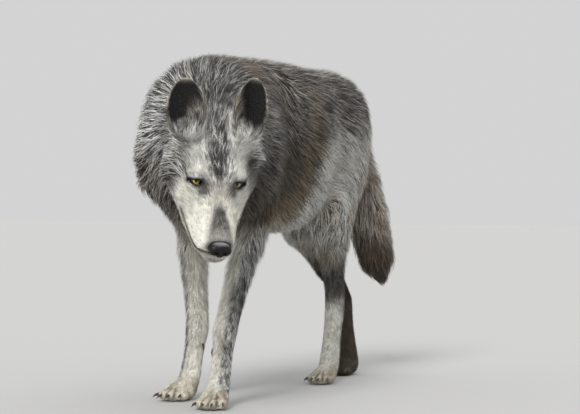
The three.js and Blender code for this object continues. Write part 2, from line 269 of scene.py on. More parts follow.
# a material with a Principled shader; `fixed` are the values that are the same all over
def material(name, fixed, build):
    made = bpy.data.materials.new(name)
    made.use_nodes = True
    tree = made.node_tree
    surface = tree.nodes["Principled BSDF"]
    for key, value in fixed.items():
        surface.inputs[key].default_value = value
    for key, value in build(Shade(tree, None)).items():
        tree.links.new(value.socket, surface.inputs[key])
    return made


def attribute(pen, name, output="Fac"):
    return pen.take(pen.node("ShaderNodeAttribute", {"attribute_name": name}), output)


def ownPlace(pen):
    return pen.take(pen.node("ShaderNodeTexCoord"), "Object")


def noise(pen, scale, detail=2.0, roughness=0.5, at=None):
    inputs = {"Vector": at or ownPlace(pen), "Scale": scale, "Detail": detail, "Roughness": roughness}
    return pen.take(pen.node("ShaderNodeTexNoise", **inputs))


def bump(pen, height, strength, distance):
    return pen.take(pen.node("ShaderNodeBump", Height=height, Strength=strength, Distance=distance), "Normal")


# meshes from arrays; faces is a list of index arrays, one array for each number of corners
def addMesh(name, points, faces, finish):
    mesh = bpy.data.meshes.new(name)
    corners = np.concatenate([f.ravel() for f in faces]).astype(np.int32)
    sizes = np.concatenate([np.full(len(f), f.shape[1]) for f in faces]).astype(np.int32)
    mesh.vertices.add(len(points))
    mesh.vertices.foreach_set("co", np.asarray(points, np.float32).ravel())
    mesh.loops.add(len(corners))
    mesh.loops.foreach_set("vertex_index", corners)
    mesh.polygons.add(len(sizes))
    mesh.polygons.foreach_set("loop_start", (np.cumsum(sizes) - sizes).astype(np.int32))
    mesh.update(calc_edges=True)
    mesh.polygons.foreach_set("use_smooth", np.full(len(sizes), True))
    mesh.materials.append(finish)
    made = bpy.data.objects.new(name, mesh)
    bpy.context.scene.collection.objects.link(made)
    return made


def addValues(piece, name, values):
    isColour = values.ndim == 2
    kind = "FLOAT_COLOR" if isColour else "FLOAT"
    made = piece.data.attributes.new(name, kind, "POINT")
    if isColour:
        values = np.concatenate([values, np.ones((len(values), 1))], 1)
    made.data.foreach_set("color" if isColour else "value", values.astype(np.float32).ravel())


# fields: values on a grid whose lines may stand closer together in places
class Field:
    def __init__(self, axes, values):
        self.axes = axes
        self.values = values

    def at(self, points):
        lows, shares = [], []
        for k, axis in enumerate(self.axes):
            index = np.interp(points[:, k], axis, np.arange(len(axis)))
            low = np.minimum(index.astype(np.int32), len(axis) - 2)
            lows.append(low)
            shares.append((index - low).astype(np.float32))
        made = 0
        for corner in np.ndindex(2, 2, 2):
            weight = 1
            for k, far in enumerate(corner):
                weight = weight * (shares[k] if far else 1 - shares[k])
            made = made + weight * self.values[tuple(low + far for low, far in zip(lows, corner))]
        return made

    def slope(self, points, reach=0.002):
        steps = np.eye(3) * reach
        return unit(np.stack([self.at(points + s) - self.at(points - s) for s in steps], 1))

    # the same values on other axes
    def onto(self, axes):
        made = self.values
        for k, (old, new) in enumerate(zip(self.axes, axes)):
            index = np.interp(new, old, np.arange(len(old)))
            low = np.minimum(index.astype(np.int32), len(old) - 2)
            share = (index - low).astype(np.float32)
            share = share.reshape([-1 if i == k else 1 for i in range(3)])
            made = np.take(made, low, k) * (1 - share) + np.take(made, low + 1, k) * share
        return made


def smoothed(values, passes):
    for _ in range(passes):
        for k in range(3):
            middle = np.moveaxis(values, k, 0)
            eased = middle.copy()
            eased[1:-1] = 0.25 * middle[:-2] + 0.5 * middle[1:-1] + 0.25 * middle[2:]
            values = np.moveaxis(eased, 0, k)
    return values


# where a field is zero, as a closed mesh facing out
def surfaceOf(axes, values, adaptivity=0.0, limit=0.02):
    grid = openvdb.FloatGrid(limit)
    grid.gridClass = openvdb.GridClass.LEVEL_SET
    grid.copyFromArray(np.ascontiguousarray(np.clip(values, -limit, limit)))
    points, triangles, quads = grid.convertToPolygons(isovalue=0.0, adaptivity=adaptivity)
    points = np.stack([np.interp(points[:, k], np.arange(len(a)), a) for k, a in enumerate(axes)], 1)
    faces = [f for f in (np.asarray(triangles), np.asarray(quads)) if len(f)]
    return points, faces


# smooth union of two distances
def joined(a, b, width):
    h = np.clip(0.5 + 0.5 * (b - a) / width, 0, 1)
    return b + (a - b) * h - width * h * (1 - h)


# ears: a wall rolled round a line, open to the front
earShape = {
    "share": (-0.25, 0, 0.15, 0.35, 0.55, 0.75, 0.9, 1),  # of the ear's length, from its base
    "half": (9, 20, 35, 42, 40, 34, 23, 8),  # mm, half the width of the opening there
    "depth": (12, 36, 32, 26, 20, 13, 8, 3),  # mm that the rims stand ahead of the back
    "foot": -0.22,  # where the wall ends, inside the head
    "thickness": (6.0, 2.8),  # at base and tip
    "rimThin": 0.4,  # how much thinner the wall is at its rims
    "middle": 20,  # mm that the middle of the bottom lies up and ahead of the base
    "hollow": (14, 12, 24),  # half sizes of the hollow at the base
    "plug": (21, 20, 17),  # half sizes of the pad that closes the bottom of the opening
    "plugMiddle": (0, -1, -23),
    "wallJoin": 9.0,  # how softly wall, pad and hollow run into the head
    "plugJoin": 20.0,
    "hollowJoin": 3.0,
}
sides = {"left": 1, "right": -1}
ears = {
    "left": {"base": (50, 104, 72), "tip": (63, 150, 183), "open": (0.3, -0.9, 0.4)},
    "right": {"base": (-67, 104, 66), "tip": (-84, 148, 167), "open": (-0.2, -0.9, 0.4)},
}


def earAxes(name):
    base, tip, opening = (np.array(ears[name][key], float) for key in ("base", "tip", "open"))
    length = np.linalg.norm(tip - base)
    rise = (tip - base) / length
    across = unit(np.cross(rise, opening))
    return base, length, across, rise, np.cross(across, rise)


def earRing(t):
    half, depth = (np.interp(t, earShape["share"], earShape[key]) for key in ("half", "depth"))
    return (half ** 2 + depth ** 2) / (2 * depth), 2 * np.arctan2(depth, half)


# where a place lies in an ear: from rim to rim (-1 to 1), from base to tip (0 to 1) and mm inside the
# wall's middle, with the wall's radius and turn there and the ear's length
def inEar(name, x, y, z):
    base, length, across, rise, ahead = earAxes(name)
    u, w, v = measured((across, rise, ahead), base, x, y, z)
    radius, reach = earRing(w / length)
    around = np.arctan2(u, radius - v) / reach
    return around, w / length, radius - np.hypot(u, radius - v), radius, reach, length


# the other way: a place in the head's axes; `share` is negative towards the middle of the head
def onEar(name, share, t, inside):
    base, length, across, rise, ahead = earAxes(name)
    radius, reach = earRing(t)
    angle = reach * share * sides[name]
    around = (radius - inside) * (math.sin(angle) * across - math.cos(angle) * ahead)
    return base + t * length * rise + radius * ahead + around


# the lie of the coat: a line down the middle of each part, in the direction its hair runs
# radius of the part, depth of its coat, length, width and spacing of its locks, all in mm, and how far its
# hair is turned down
coatValues = ("radius", "depth", "hair", "width", "spacing", "fall")
coatKinds = {
    "lids": (16, 1.6, 4, 1.0, 1.6, 0),
    "muzzle": (32, 2.2, 7, 1.2, 1.7, 0),
    "face": (50, 4.5, 14, 1.4, 1.9, 0),
    "crown": (62, 8, 25, 1.6, 2.2, 0),
    "cheek": (40, 9, 28, 1.6, 2.3, 0),
    "jaw": (25, 4, 12, 1.4, 2.2, 0),
    "ear": (34, 1.0, 7, 1.2, 1.7, 0),
    "earTuft": (34, 10, 30, 1.3, 1.7, 0),
    "neck": (98, 36, 66, 1.9, 3.2, 0.45),
    "ruff": (46, 34, 92, 2.2, 3.3, 0.1),
    "trunk": (160, 30, 50, 2.1, 3.5, 0.85),
    "shoulder": (70, 28, 48, 2.1, 3.5, 0.5),
    "haunch": (76, 22, 40, 2.0, 3.1, 0.3),
    "upperLeg": (44, 13, 28, 1.8, 2.7, 0),
    "shin": (27, 5, 15, 1.6, 2.3, 0),
    "foot": (26, 3.0, 9, 1.4, 2.1, 0),
    "tail": (46, 30, 64, 2.4, 3.3, 0.1),
}
noseTip = inHead(0, -155, -46)


def partLines():
    lines = [
        ("muzzle", [inHead(0, -136, -50), inHead(0, -26, -34)]),
        ("face", [inHead(0, -18, -12), inHead(0, 50, 8)]),
        ("crown", [inHead(0, 50, 4), inHead(0, 108, 4)]),
        ("jaw", [inHead(0, -122, -86), inHead(0, 0, -74)]),
    ]
    spine = middles("trunk", 1, 6)
    nape = inHead(0, 130, -30)
    lines += [
        ("neck", [nape, blend(nape, spine[1], 0.6), spine[1]]),
        ("ruff", [inHead(-60, 70, -20), inHead(-130, 122, -98)]),
        ("trunk", list(spine[1:])),
        ("tail", list(middles("tail", 2, 7)[::-1])),
    ]
    for name, side in sides.items():
        base, tip = inHead(*ears[name]["base"]), inHead(*ears[name]["tip"])
        fore = middles("fore_" + name + "_leg", 2, 6)[::-1]
        hind = middles("hind_" + name + "_leg", 2, 8)[::-1]
        shoulder = np.array([spine[1][0] + side * 0.09, spine[1][1] + 0.06, 0.70])
        hip = np.array([spine[-1][0] + side * 0.06, spine[-1][1] - 0.02, 0.68])
        lines += [
            ("ear", [blend(base, tip, 0.3), tip]),
            ("earTuft", [inHead(*onEar(name, -0.85, 0.0, 4)), inHead(*onEar(name, -0.6, 0.42, 4))]),
            ("cheek", [inHead(side * 42, 10, -42), inHead(side * 78, 88, -54)]),
            ("lids", [inHead(side * 36, -1, 4), inHead(side * 50, 7, 6)]),
            ("shoulder", [shoulder, fore[0]]),
            ("upperLeg", list(fore[:3])),
            ("shin", list(fore[2:])),
            ("haunch", [hip, hind[0], hind[2]]),
            ("upperLeg", list(hind[2:5])),
            ("shin", list(hind[4:])),
        ]
        for end, limb in (("fore_", fore), ("hind_", hind)):
            low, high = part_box(end + name + "_paw")
            toes = np.array([(low.x + high.x) / 2, blend(high.y, low.y, 0.8), 0.02])
            lines.append(("foot", [limb[-1], toes]))
    return lines


coatLines = partLines()
coatBlend = 12 * mm  # how fast one part's coat gives way to the next
deepest = -0.03  # m inside a part's radius, past which its weight grows no more
faceKinds = ("lids", "muzzle", "face", "crown", "cheek", "jaw")


# the coat's depth, hair length, width and spacing, its kind and its direction at each point
def coatAt(points, wantFlow=True):
    points = points.astype(np.float32)
    total = np.zeros(len(points), np.float32)
    made = {key: np.zeros(len(points), np.float32) for key in ("depth", "hair", "width", "spacing")}
    flow = np.zeros((len(points), 3), np.float32)
    strongest = np.zeros(len(points), np.float32)
    nearest = np.zeros(len(points), np.int32)
    fromNose = unit(points - noseTip) if wantFlow else None
    for index, (kind, line) in enumerate(coatLines):
        values = dict(zip(coatValues, coatKinds[kind]))
        best = np.full(len(points), 1e9, np.float32)
        heading = np.zeros((len(points), 3), np.float32)
        for a, b in zip(line[:-1], line[1:]):
            along = (b - a).astype(np.float32)
            offset = points - a.astype(np.float32)
            t = np.clip(offset @ along / (along @ along), 0, 1)
            offset -= t[:, None] * along
            distance = np.sqrt((offset * offset).sum(1))
            closer = distance < best
            best[closer] = distance[closer]
            if wantFlow:
                heading[closer] = unit(along) - values["fall"] * up
        weight = np.exp(-np.clip(best - values["radius"] * mm, deepest, 1) / coatBlend)
        total += weight
        for key in made:
            made[key] += weight * values[key] * mm
        if wantFlow:
            flow += weight[:, None] * (fromNose if kind in faceKinds else unit(heading))
            stronger = weight > strongest
            strongest[stronger] = weight[stronger]
            nearest[stronger] = index
    for key in made:
        made[key] /= total
    if wantFlow:
        made["flow"] = unit(flow)
        made["line"] = nearest
    return made


# the skin: the solids of flesh made one, less the depth of the coat, with the face worked into it
skin = {
    "margin": 0.012,  # m of grid outside the solids
    "bodyStep": 4 * mm,
    "headStep": 1.6 * mm,
    "outlineStep": 2.5 * mm,
    "gridGap": 0.6,  # of the body's step, the least space before the head's closer lines
    "wideStep": 0.01,  # of the grid that holds the coat's depth
    "bodyPasses": 2,  # of smoothing
    "headPasses": 6,
    "bodyReach": 14,  # grid steps that each field is known for, on both sides of the solids
    "headReach": 5,
    "outlineReach": 3,
    "headFades": (0.6, 0.92),  # of that reach, where the head's field gives way to the body's
    "cutClosed": 0.6 * mm,  # the parts are grown this much, which closes the cuts between them
    "coatShare": 0.92,  # of the coat's depth that the skin lies under the solids
    "adaptivity": 0.03,  # how far the mesh is thinned where it is flat
    "tipShare": 0.3,  # of the tips' colour seen in the skin's
}
eye = {
    "opening": 14.5,  # half the length between the corners
    "upperLid": 3.5,
    "lowerLid": 5.4,
    "outward": 9,  # degrees that the opening turns out and up, and that its outer corner is raised
    "upward": 30,
    "tilt": 2,
    "lidFrom": 0.4,
    "lidTo": 3.4,
    "lidJoin": 3.0,
    "socket": 14,  # mm that the opening is cut past the ball
    "outside": 20,  # mm that a place behind the ball counts as outside the opening
    "mound": (24, 20, 19),  # half sizes of the swelling round the eye
    "moundMiddle": (-4, 7, 0),  # from the eye's middle
    "moundJoin": 12.0,
}
# the line between the lips, in mm of the head's axes: its height in front, its rise to the corner, its ends
mouth = {"height": -61, "corner": 9, "front": -130, "back": -34, "width": 1.0, "depth": 3.5}
noseBed = {"middle": (0, -130, -46), "radii": (23, 18, 19), "join": 6.0}
fleshNodes = [n for n in nodes if not any(word in n for word in ("claw", "eye_", "nose"))]


def levelSet(points, faces, step, reach):
    transform = openvdb.createLinearTransform(voxelSize=step)
    return openvdb.FloatGrid.createLevelSetFromPolygons(points, transform=transform, halfWidth=reach, **faces)


# the part of a grid between two corners, as a field
def denseField(grid, low, high, step):
    low = np.floor(np.array(low) / step).astype(int)
    high = np.ceil(np.array(high) / step).astype(int)
    values = np.empty(high - low + 1, np.float32)
    grid.copyToArray(values, ijk=tuple(int(i) for i in low))
    return Field([np.arange(a, b + 1) * step for a, b in zip(low, high)], values)


# the parts of flesh but the ears, grown into one closed mesh
def outline(step):
    points, triangles, base = [], [], 0
    for node in fleshNodes:
        if node.startswith("ear"):
            continue
        mesh = nodes[node].data
        mesh.calc_loop_triangles()
        flat = np.empty(len(mesh.loop_triangles) * 3, np.int32)
        mesh.loop_triangles.foreach_get("vertices", flat)
        points.append(verticesOf(node))
        triangles.append(flat.reshape(-1, 3) + base)
        base += len(points[-1])
    faces = {"triangles": np.concatenate(triangles)}
    grid = levelSet(np.concatenate(points), faces, step, skin["outlineReach"])
    points, _, quads = grid.convertToPolygons(isovalue=skin["cutClosed"], adaptivity=0.0)
    return points, {"quads": quads}


def headBox():
    corners = [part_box(node) for node in ("head", "muzzle", "jaw", "nose", "ear_left", "ear_right")]
    low, high = np.min([c[0] for c in corners], 0), np.max([c[1] for c in corners], 0)
    return low - skin["margin"], high + skin["margin"]


# the lines of a wide grid, with the closer lines of a small one let into it
def gridAxes(low, high, closeAxes):
    coarse = skin["bodyStep"]
    axes, part = [], []
    for k, close in enumerate(closeAxes):
        before = np.arange(low[k], close[0] - skin["gridGap"] * coarse, coarse)
        after = np.arange(close[-1] + coarse, high[k] + coarse, coarse)
        axes.append(np.concatenate([before, close, after]))
        part.append(slice(len(before), len(before) + len(close)))
    return axes, tuple(part)


# across the opening, into the head, and up, for one eye, in the head's axes
def eyeFrame(side):
    turn, lift, tilt = (math.radians(eye[key]) for key in ("outward", "upward", "tilt"))
    level = math.cos(lift)
    inward = np.array([-side * math.sin(turn) * level, math.cos(turn) * level, -math.sin(lift)])
    across = unit(np.cross(inward, [0, 0, 1])) * side
    rise = np.cross(across, inward) * side
    cos, sin = math.cos(tilt), math.sin(tilt)
    return cos * across + sin * rise, inward, cos * rise - sin * across


# how far a place is outside the opening between the lids, in mm, from coordinates in the eye's own frame
def lidGap(across, rise):
    bow = 1 - (across / eye["opening"]) ** 2
    return np.maximum(rise - eye["upperLid"] * bow, -eye["lowerLid"] * bow - rise)


def ellipsoid(x, y, z, middle, radii):
    far = np.sqrt(sum(((v - m) / r) ** 2 for v, m, r in zip((x, y, z), middle, radii)))
    return (far - 1) * min(radii)


def earDistance(name, x, y, z):
    share, t, inside, radius, reach, length = inEar(name, x, y, z)
    thick = blend(*earShape["thickness"], np.clip(t, 0, 1))
    thick = thick * (1 - earShape["rimThin"] * np.clip(abs(share), 0, 1) ** 4)
    edge = np.maximum((abs(share) - 1) * reach * radius + 0.5 * thick, (t - 1) * length + 0.5 * thick)
    edge = np.maximum(edge, (earShape["foot"] - t) * length)
    return np.sqrt(np.maximum(edge, 0) ** 2 + inside ** 2) - 0.5 * thick


# the height of the line between the lips, in mm of the head's axes
def lipHeight(y):
    return mouth["height"] + mouth["corner"] * ease(mouth["front"], mouth["back"], y)


# the wall of an ear, the pad that closes the bottom of its opening, and the hollow over that
def sculptEar(distance, name, x, y, z):
    base, _, across, rise, ahead = earAxes(name)
    middle = base + earShape["middle"] * rise + earShape["middle"] * ahead
    local = measured((across, ahead, rise), middle, x, y, z)
    hollow = ellipsoid(*local, (0, 0, 0), earShape["hollow"])
    plug = ellipsoid(*local, earShape["plugMiddle"], earShape["plug"])
    distance = joined(distance, earDistance(name, x, y, z), earShape["wallJoin"])
    distance = joined(distance, plug, earShape["plugJoin"])
    return -joined(-distance, hollow, earShape["hollowJoin"])


# a swelling, a lid wrapped on the ball, and the opening cut through it
def sculptEye(distance, side, x, y, z):
    middle = mirror(head["eyeMiddle"], side)
    swelling = np.add(middle, mirror(eye["moundMiddle"], side))
    distance = joined(distance, ellipsoid(x, y, z, swelling, eye["mound"]), eye["moundJoin"])
    radius = head["eyeRadius"]
    far = np.sqrt(sum((v - m) ** 2 for v, m in zip((x, y, z), middle)))
    across, inward, rise = measured(eyeFrame(side), middle, x, y, z)
    middleOfLid = radius + 0.5 * (eye["lidFrom"] + eye["lidTo"])
    shell = abs(far - middleOfLid) - 0.5 * (eye["lidTo"] - eye["lidFrom"])
    distance = joined(distance, shell, eye["lidJoin"])
    gap = lidGap(across * radius / np.maximum(far, 1), rise * radius / np.maximum(far, 1))
    opening = np.where(inward < 0, gap, eye["outside"])
    distance = np.maximum(distance, -np.maximum(opening, far - radius - eye["socket"]))
    return np.maximum(distance, radius + eye["lidFrom"] - far)


# the face in mm of the head's axes: ears, eyes, bed of the nose and mouth
def sculptHead(distance, x, y, z):
    for name in sides:
        distance = sculptEar(distance, name, x, y, z)
    for side in sides.values():
        distance = sculptEye(distance, side, x, y, z)
    distance = joined(distance, ellipsoid(x, y, z, noseBed["middle"], noseBed["radii"]), noseBed["join"])
    groove = np.maximum(abs(z - lipHeight(y)) - mouth["width"], y - mouth["back"])
    return np.maximum(distance, -np.maximum(groove, -distance - mouth["depth"]))


wideField = {}  # depth and spacing of the coat, on a wide grid


def makeSkin():
    low, high = (np.array(c) for c in cadBox)
    low, high = low - skin["margin"], high + skin["margin"]
    coarse, fine = skin["bodyStep"], skin["headStep"]
    body = denseField(levelSet(*outline(skin["outlineStep"]), coarse, skin["bodyReach"]), low, high, coarse)
    body.values = smoothed(body.values, skin["bodyPasses"])
    face = denseField(levelSet(*outline(fine), fine, skin["headReach"]), *headBox(), fine)
    face.values = smoothed(face.values, skin["headPasses"])
    axes, part = gridAxes(low, high, face.axes)
    values = body.onto(axes).astype(np.float32)
    reach = skin["headReach"] * fine
    share = ease(skin["headFades"][0] * reach, skin["headFades"][1] * reach, abs(face.values))
    values[part] = blend(face.values, values[part], share)
    # depth of the coat, worked out on a wide grid and laid over this one
    step = skin["wideStep"]
    wide = [np.arange(a[0] - step, a[-1] + 2 * step, step) for a in axes]
    spots = np.stack(np.meshgrid(*wide, indexing="ij"), -1).reshape(-1, 3)
    found = coatAt(spots, wantFlow=False)
    for key in ("depth", "spacing"):
        wideField[key] = Field(wide, found[key].reshape([len(w) for w in wide]))
    values += skin["coatShare"] * wideField["depth"].onto(axes).astype(np.float32)
    grid = [v.astype(np.float32) for v in np.meshgrid(*face.axes, indexing="ij", sparse=True)]
    x, y, z = (sum((g - o) * t for g, o, t in zip(grid, headOrigin, row)) / mm for row in headTurn)
    values[part] = sculptHead(values[part] / mm, x, y, z) * mm
    return Field(axes, values)


# the markings, the same on skin and coat: each colour is laid on the ones before it
tints = {
    "black": colour(16, 15, 15),
    "soot": colour(38, 36, 35),
    "umber": colour(58, 48, 36),
    "char": colour(46, 40, 40),
    "chestnut": colour(122, 98, 80),
    "olive": colour(82, 70, 46),
    "brown": colour(100, 82, 58),
    "rust": colour(136, 92, 66),
    "tan": colour(176, 156, 120),
    "rim": colour(150, 128, 96),
    "dust": colour(192, 186, 178),
    "ash": colour(142, 139, 132),
    "silver": colour(238, 238, 236),
    "frost": colour(238, 238, 234),
    "cream": colour(239, 237, 225),
}


# 1 inside an oval about a middle, easing to 0 outside it
def oval(points, middle, radii, soft=0.35):
    far = np.sqrt((((points - np.array(middle)) / np.array(radii)) ** 2).sum(1))
    return 1 - ease(1 - soft, 1 + soft, far)


# smooth waves that wander by a cell's size, from -1 to 1
def wander(points, cell, seed, waves=5):
    turns = np.random.default_rng(seed).normal(0, 1, (waves, 3)) / cell
    shifts = np.random.default_rng(seed + 1).uniform(0, 6.3, waves)
    return np.sin(points @ turns.T + shifts).sum(1) / 3


# how far a place is from the opening between an eye's lids, in mm
def lidDistance(face, side):
    across, inward, rise = eyeFrame(side)
    offset = face - np.array(mirror(head["eyeMiddle"], side))
    far = np.linalg.norm(offset, axis=1)
    front = offset * (head["eyeRadius"] / np.maximum(far, 1))[:, None]
    gap = np.maximum(lidGap(front @ across, front @ rise), far - head["eyeRadius"] - eye["socket"])
    return np.where(offset @ inward < 0, gap, eye["outside"])


# lines between neighbouring toes, from the claws' places, along which painted shade marks the clefts
def findToeGaps(start=0.25):
    gaps = []
    for foot in ("fore_left", "fore_right", "hind_left", "hind_right"):
        middle = boxMiddle(foot + "_paw")
        claws = [boxMiddle(foot + "_claw_%d" % k) for k in (1, 2, 3, 4)]
        for a, b in zip(claws[:-1], claws[1:]):
            front = 0.5 * (a + b)
            gaps.append((blend(middle, front, start), front))
    return gaps


toeGaps = findToeGaps()
# ovals of colour: the tints at root and tip, the share of light locks, the strength, the middle, the half
# sizes and the softness of the edge; on the body in m, on the face in mm of the head's axes, on its left side
patches = {
    "withers": ("rust", "tan", 0.35, 0.75, (0.04, -0.25, 0.79), (0.05, 0.07, 0.04), 0.8),
    # painted shadow: the chest under the neck darkened as if the head and neck shaded it
    "chestShadow": ("black", "olive", 0.3, 0.85, (0.05, -0.34, 0.46), (0.13, 0.14, 0.12), 0.6),
    "rump": ("black", "umber", 0.3, 0.85, (0.12, 0.08, 0.645), (0.08, 0.07, 0.035), 0.7),
    "cheek": ("silver", "cream", 0.9, 1, (52, -14, -36), (28, 42, 30), 0.35),
    "brow": ("silver", "cream", 0.8, 0.85, (42, 16, 28), (24, 18, 16), 0.35),
    "temple": ("ash", "cream", 0.75, 0.8, (56, 60, 44), (20, 40, 26), 0.35),
    "sideOfNeck": ("black", "ash", 0.3, 0.9, (96, 62, -28), (30, 54, 52), 0.6),
    "underEar": ("soot", "ash", 0.35, 0.8, (80, 50, 6), (24, 30, 34), 0.6),
    "backOfCheek": ("soot", "ash", 0.4, 0.8, (80, 46, -44), (18, 30, 18), 0.6),
    "tearLine": ("black", "soot", 0.8, 1, (29, -27, 12), (13, 20, 15), 0.6),
    "underEye": ("soot", "ash", 0.7, 0.6, (38, -27, 3), (13, 10, 9), 0.7),
    "forehead": ("silver", "frost", 0.8, 0.8, (48, 54, 56), (24, 34, 24), 0.6),
    "betweenEyes": ("ash", "dust", 0.7, 0.7, (0, -34, 12), (24, 30, 16), 0.6),
    "chin": ("soot", "ash", 0.8, 0.7, (0, -134, -84), (18, 18, 10), 0.35),
}
onBothSides = (
    "cheek", "brow", "temple", "sideOfNeck", "underEar", "backOfCheek", "tearLine", "underEye", "forehead",
)
# where a colour eases in, from none to all of it
bands = {
    # on the body in m, up, along or across it
    "back": (0.66, 0.77),
    "maneTop": (0.66, 0.76),
    "behindNeck": (-0.36, -0.16),
    "leftNeck": (-0.02, 0.08),
    "neckEnd": (-0.2, 0.0),
    "ruffHeight": (0.575, 0.615),
    "ruffSide": (-0.05, 0.02),
    "ruffEnd": (-0.32, -0.22),
    "flank": (-0.03, 0.07),
    "flankTop": (0.55, 0.70),
    "flankEdge": (-0.12, -0.03),
    "belly": (0.44, 0.52),
    "haunch": (0.0, 0.06),
    "haunchTop": (0.61, 0.70),
    "haunchFoot": (0.26, 0.34),
    "haunchEdge": (0.03, 0.07),
    # up and along the legs, feet and tail
    "halfway": (-0.1, 0.0),
    "foreleg": (0.36, 0.46),
    "forePastern": (0.10, 0.16),
    "hindleg": (0.30, 0.44),
    "hock": (0.20, 0.28),
    "hockFoot": (0.19, 0.24),
    "hockTop": (0.28, 0.36),
    "shank": (0.28, 0.34),
    "rearLeg": (0.26, 0.40),
    "rearmost": (0.36, 0.43),
    "feet": (0.03, 0.07),
    "behindFeet": (0.38, 0.42),
    "toes": (0.03, 0.05),
    "toeCleftShade": (0.0015, 0.004),
    "tail": (0.43, 0.50),
    "tailRoot": (0.62, 0.72),
    "tailEnd": (0.16, 0.2),
    "tailDark": (0.34, 0.47),
    "tailTip": (0.24, 0.36),
    # how far a leg's surface faces out, back or ahead
    "foreOuter": (0.25, 0.6),
    "foreRear": (0.1, 0.7),
    "foreSide": (-0.1, 0.3),
    "hindOuter": (0.4, 0.8),
    "hindRear": (0.0, 0.6),
    "hindFront": (0.1, 0.6),
    # on the head in mm of its own axes
    "head": (115, 165),
    "headSide": (88, 118),
    "crown": (-4, 40),
    "wedgeStart": (-30, -8),
    "wedgeSide": (3, 20),
    "wedgeEnd": (80, 125),
    "pointStart": (-34, -24),
    "pointSide": (1, 8),
    "pointEnd": (-10, 12),
    "muzzle": (-56, -24),
    "lidRim": (1.6, 4.8),
    "stripeStart": (44, 78),
    "stripeSide": (1, 17),
    "stripeEnd": (106, 128),
    "stripeHeight": (-62, -50),
    "nosePad": (1, 4),
    "lips": (1.5, 3.5),
    "underLip": (3, 9),
    "lipEnd": (-34, -26),
    # on the ears, in mm into the wall and in shares of their height and width
    "earInner": (-1.0, 0.6),
    "earFoot": (-0.02, 0.10),
    "earTip": (0.3, 0.5),
    "earHollow": (0.86, 0.98),
    "earEdge": (0.94, 1.0),
}
# borders that run aslant: how much they shift for each step along the other way, and where that starts
slants = {
    "neck": (0.35, -0.4),
    "haunch": (0.38, 0.52),
    "tail": (0.3, 0.6),
    "wedge": (0.3, -16),
    "point": (0.2, -24),
    "muzzle": (-0.3, 30),
    "stripe": (0.27, 58),
}
# patches that drift over a part: their size in m, their seed and where they ease in
drifts = {
    "back": (0.07, 7, 0.2, 1.0),
    "haunchTan": (0.03, 9, 0.0, 0.9),
    "haunchStreaks": (0.02, 23, 0.4, 0.8),
    "foreleg": (0.02, 13, 0.2, 0.9),
    "toes": (0.016, 15, 0.2, 0.9),
}
ground = {"root": "soot", "tip": "silver", "light": 0.46}  # what the other colours are laid on
blur = {"size": 0.045, "reach": 0.012, "seeds": (31, 41, 51)}  # how the borders on the body wander, in m
middleLine = -0.03  # m across, between the legs of both sides
tailSpan = (-0.12, 0.08)  # m across
headReach = {"middle": 20, "height": -10, "ahead": 0.45}  # the head's colours reach less far back than ahead
earMarks = {
    "wide": 1.15,  # how far the ear's colours reach past its rims, in mm through its wall, and past its tip
    "thick": 9,
    "tall": 1.1,
    "soft": 0.6,  # edge of the ovals below
    "tuft": ((-0.55, 0.2), (0.45, 0.22)),  # on the opened ear: middle and half sizes
    "inner": ((34, 96, 84), (18, 30, 34)),  # between the ears
    "front": ((4, -16, 0), (17, 19, 16)),  # from the ear's base
}


def band(name, value):
    return ease(*bands[name], value)


def aslant(name, value, other):
    slope, start = slants[name]
    return value - slope * (other - start)


def drift(name, points):
    size, seed, low, high = drifts[name]
    return ease(low, high, wander(points, size, seed))


# the colours at the root and at the tip of the hair and the share of locks with the light tip, at many points
class Fur:
    def __init__(self, count):
        self.root = np.tile(tints[ground["root"]], (count, 1))
        self.tip = np.tile(tints[ground["tip"]], (count, 1))
        self.light = np.full(count, ground["light"])

    def lay(self, under, over, light, share):
        self.root = paint(self.root, tints[under], share)
        self.tip = paint(self.tip, tints[over], share)
        self.light = blend(self.light, light, share)

    def patch(self, name, points, side=1):
        under, over, light, strength, middle, radii, soft = patches[name]
        self.lay(under, over, light, strength * oval(points, mirror(middle, side), radii, soft))


# a silver mane, darker on top, to the left of the neck and along the flanks, pale haunches behind a border
# that runs aslant, and painted shadow on the chest under the neck
def paintBody(fur, points, x, y, z):
    back = band("back", z)
    behindNeck = band("behindNeck", y)
    fur.lay("black", "ash", 0.13, band("maneTop", z))
    leftNeck = band("leftNeck", aslant("neck", x, y)) * (1 - band("neckEnd", y))
    fur.lay("black", "ash", 0.14, 0.95 * leftNeck * (1 - 0.6 * back))
    underRuff = (1 - band("ruffHeight", z)) * (1 - band("ruffSide", x)) * (1 - band("ruffEnd", y))
    fur.lay("black", "dust", 0.12, underRuff)
    fur.lay("black", "dust", 0.14, 0.9 * behindNeck)
    border = aslant("haunch", y, z)
    flank = behindNeck * (1 - band("flank", border)) * (1 - back)
    fur.lay("black", "brown", 0.12, 0.9 * flank * (1 - band("flankTop", z)))
    fur.lay("char", "tan", 0.25, 0.6 * flank * band("flankEdge", border))
    fur.lay("olive", "tan", 0.4, 0.8 * behindNeck * (1 - band("belly", z)))
    fur.patch("withers", points)
    fur.lay("chestnut", "dust", 0.2, 0.45 * back * drift("back", points))
    # painted shadow on the chest under the neck
    fur.patch("chestShadow", points)
    haunch = band("haunch", border) * (1 - band("haunchTop", z)) * band("haunchFoot", z)
    fur.lay("black", "frost", 0.9, 0.95 * haunch)
    fur.lay("brown", "tan", 0.5, 0.35 * haunch * drift("haunchTan", points))
    fur.lay("black", "silver", 0.3, 0.8 * haunch * drift("haunchStreaks", points))
    fur.patch("rump", points)
    fur.lay("char", "cream", 0.4, 0.75 * haunch * (1 - band("haunchEdge", border)))
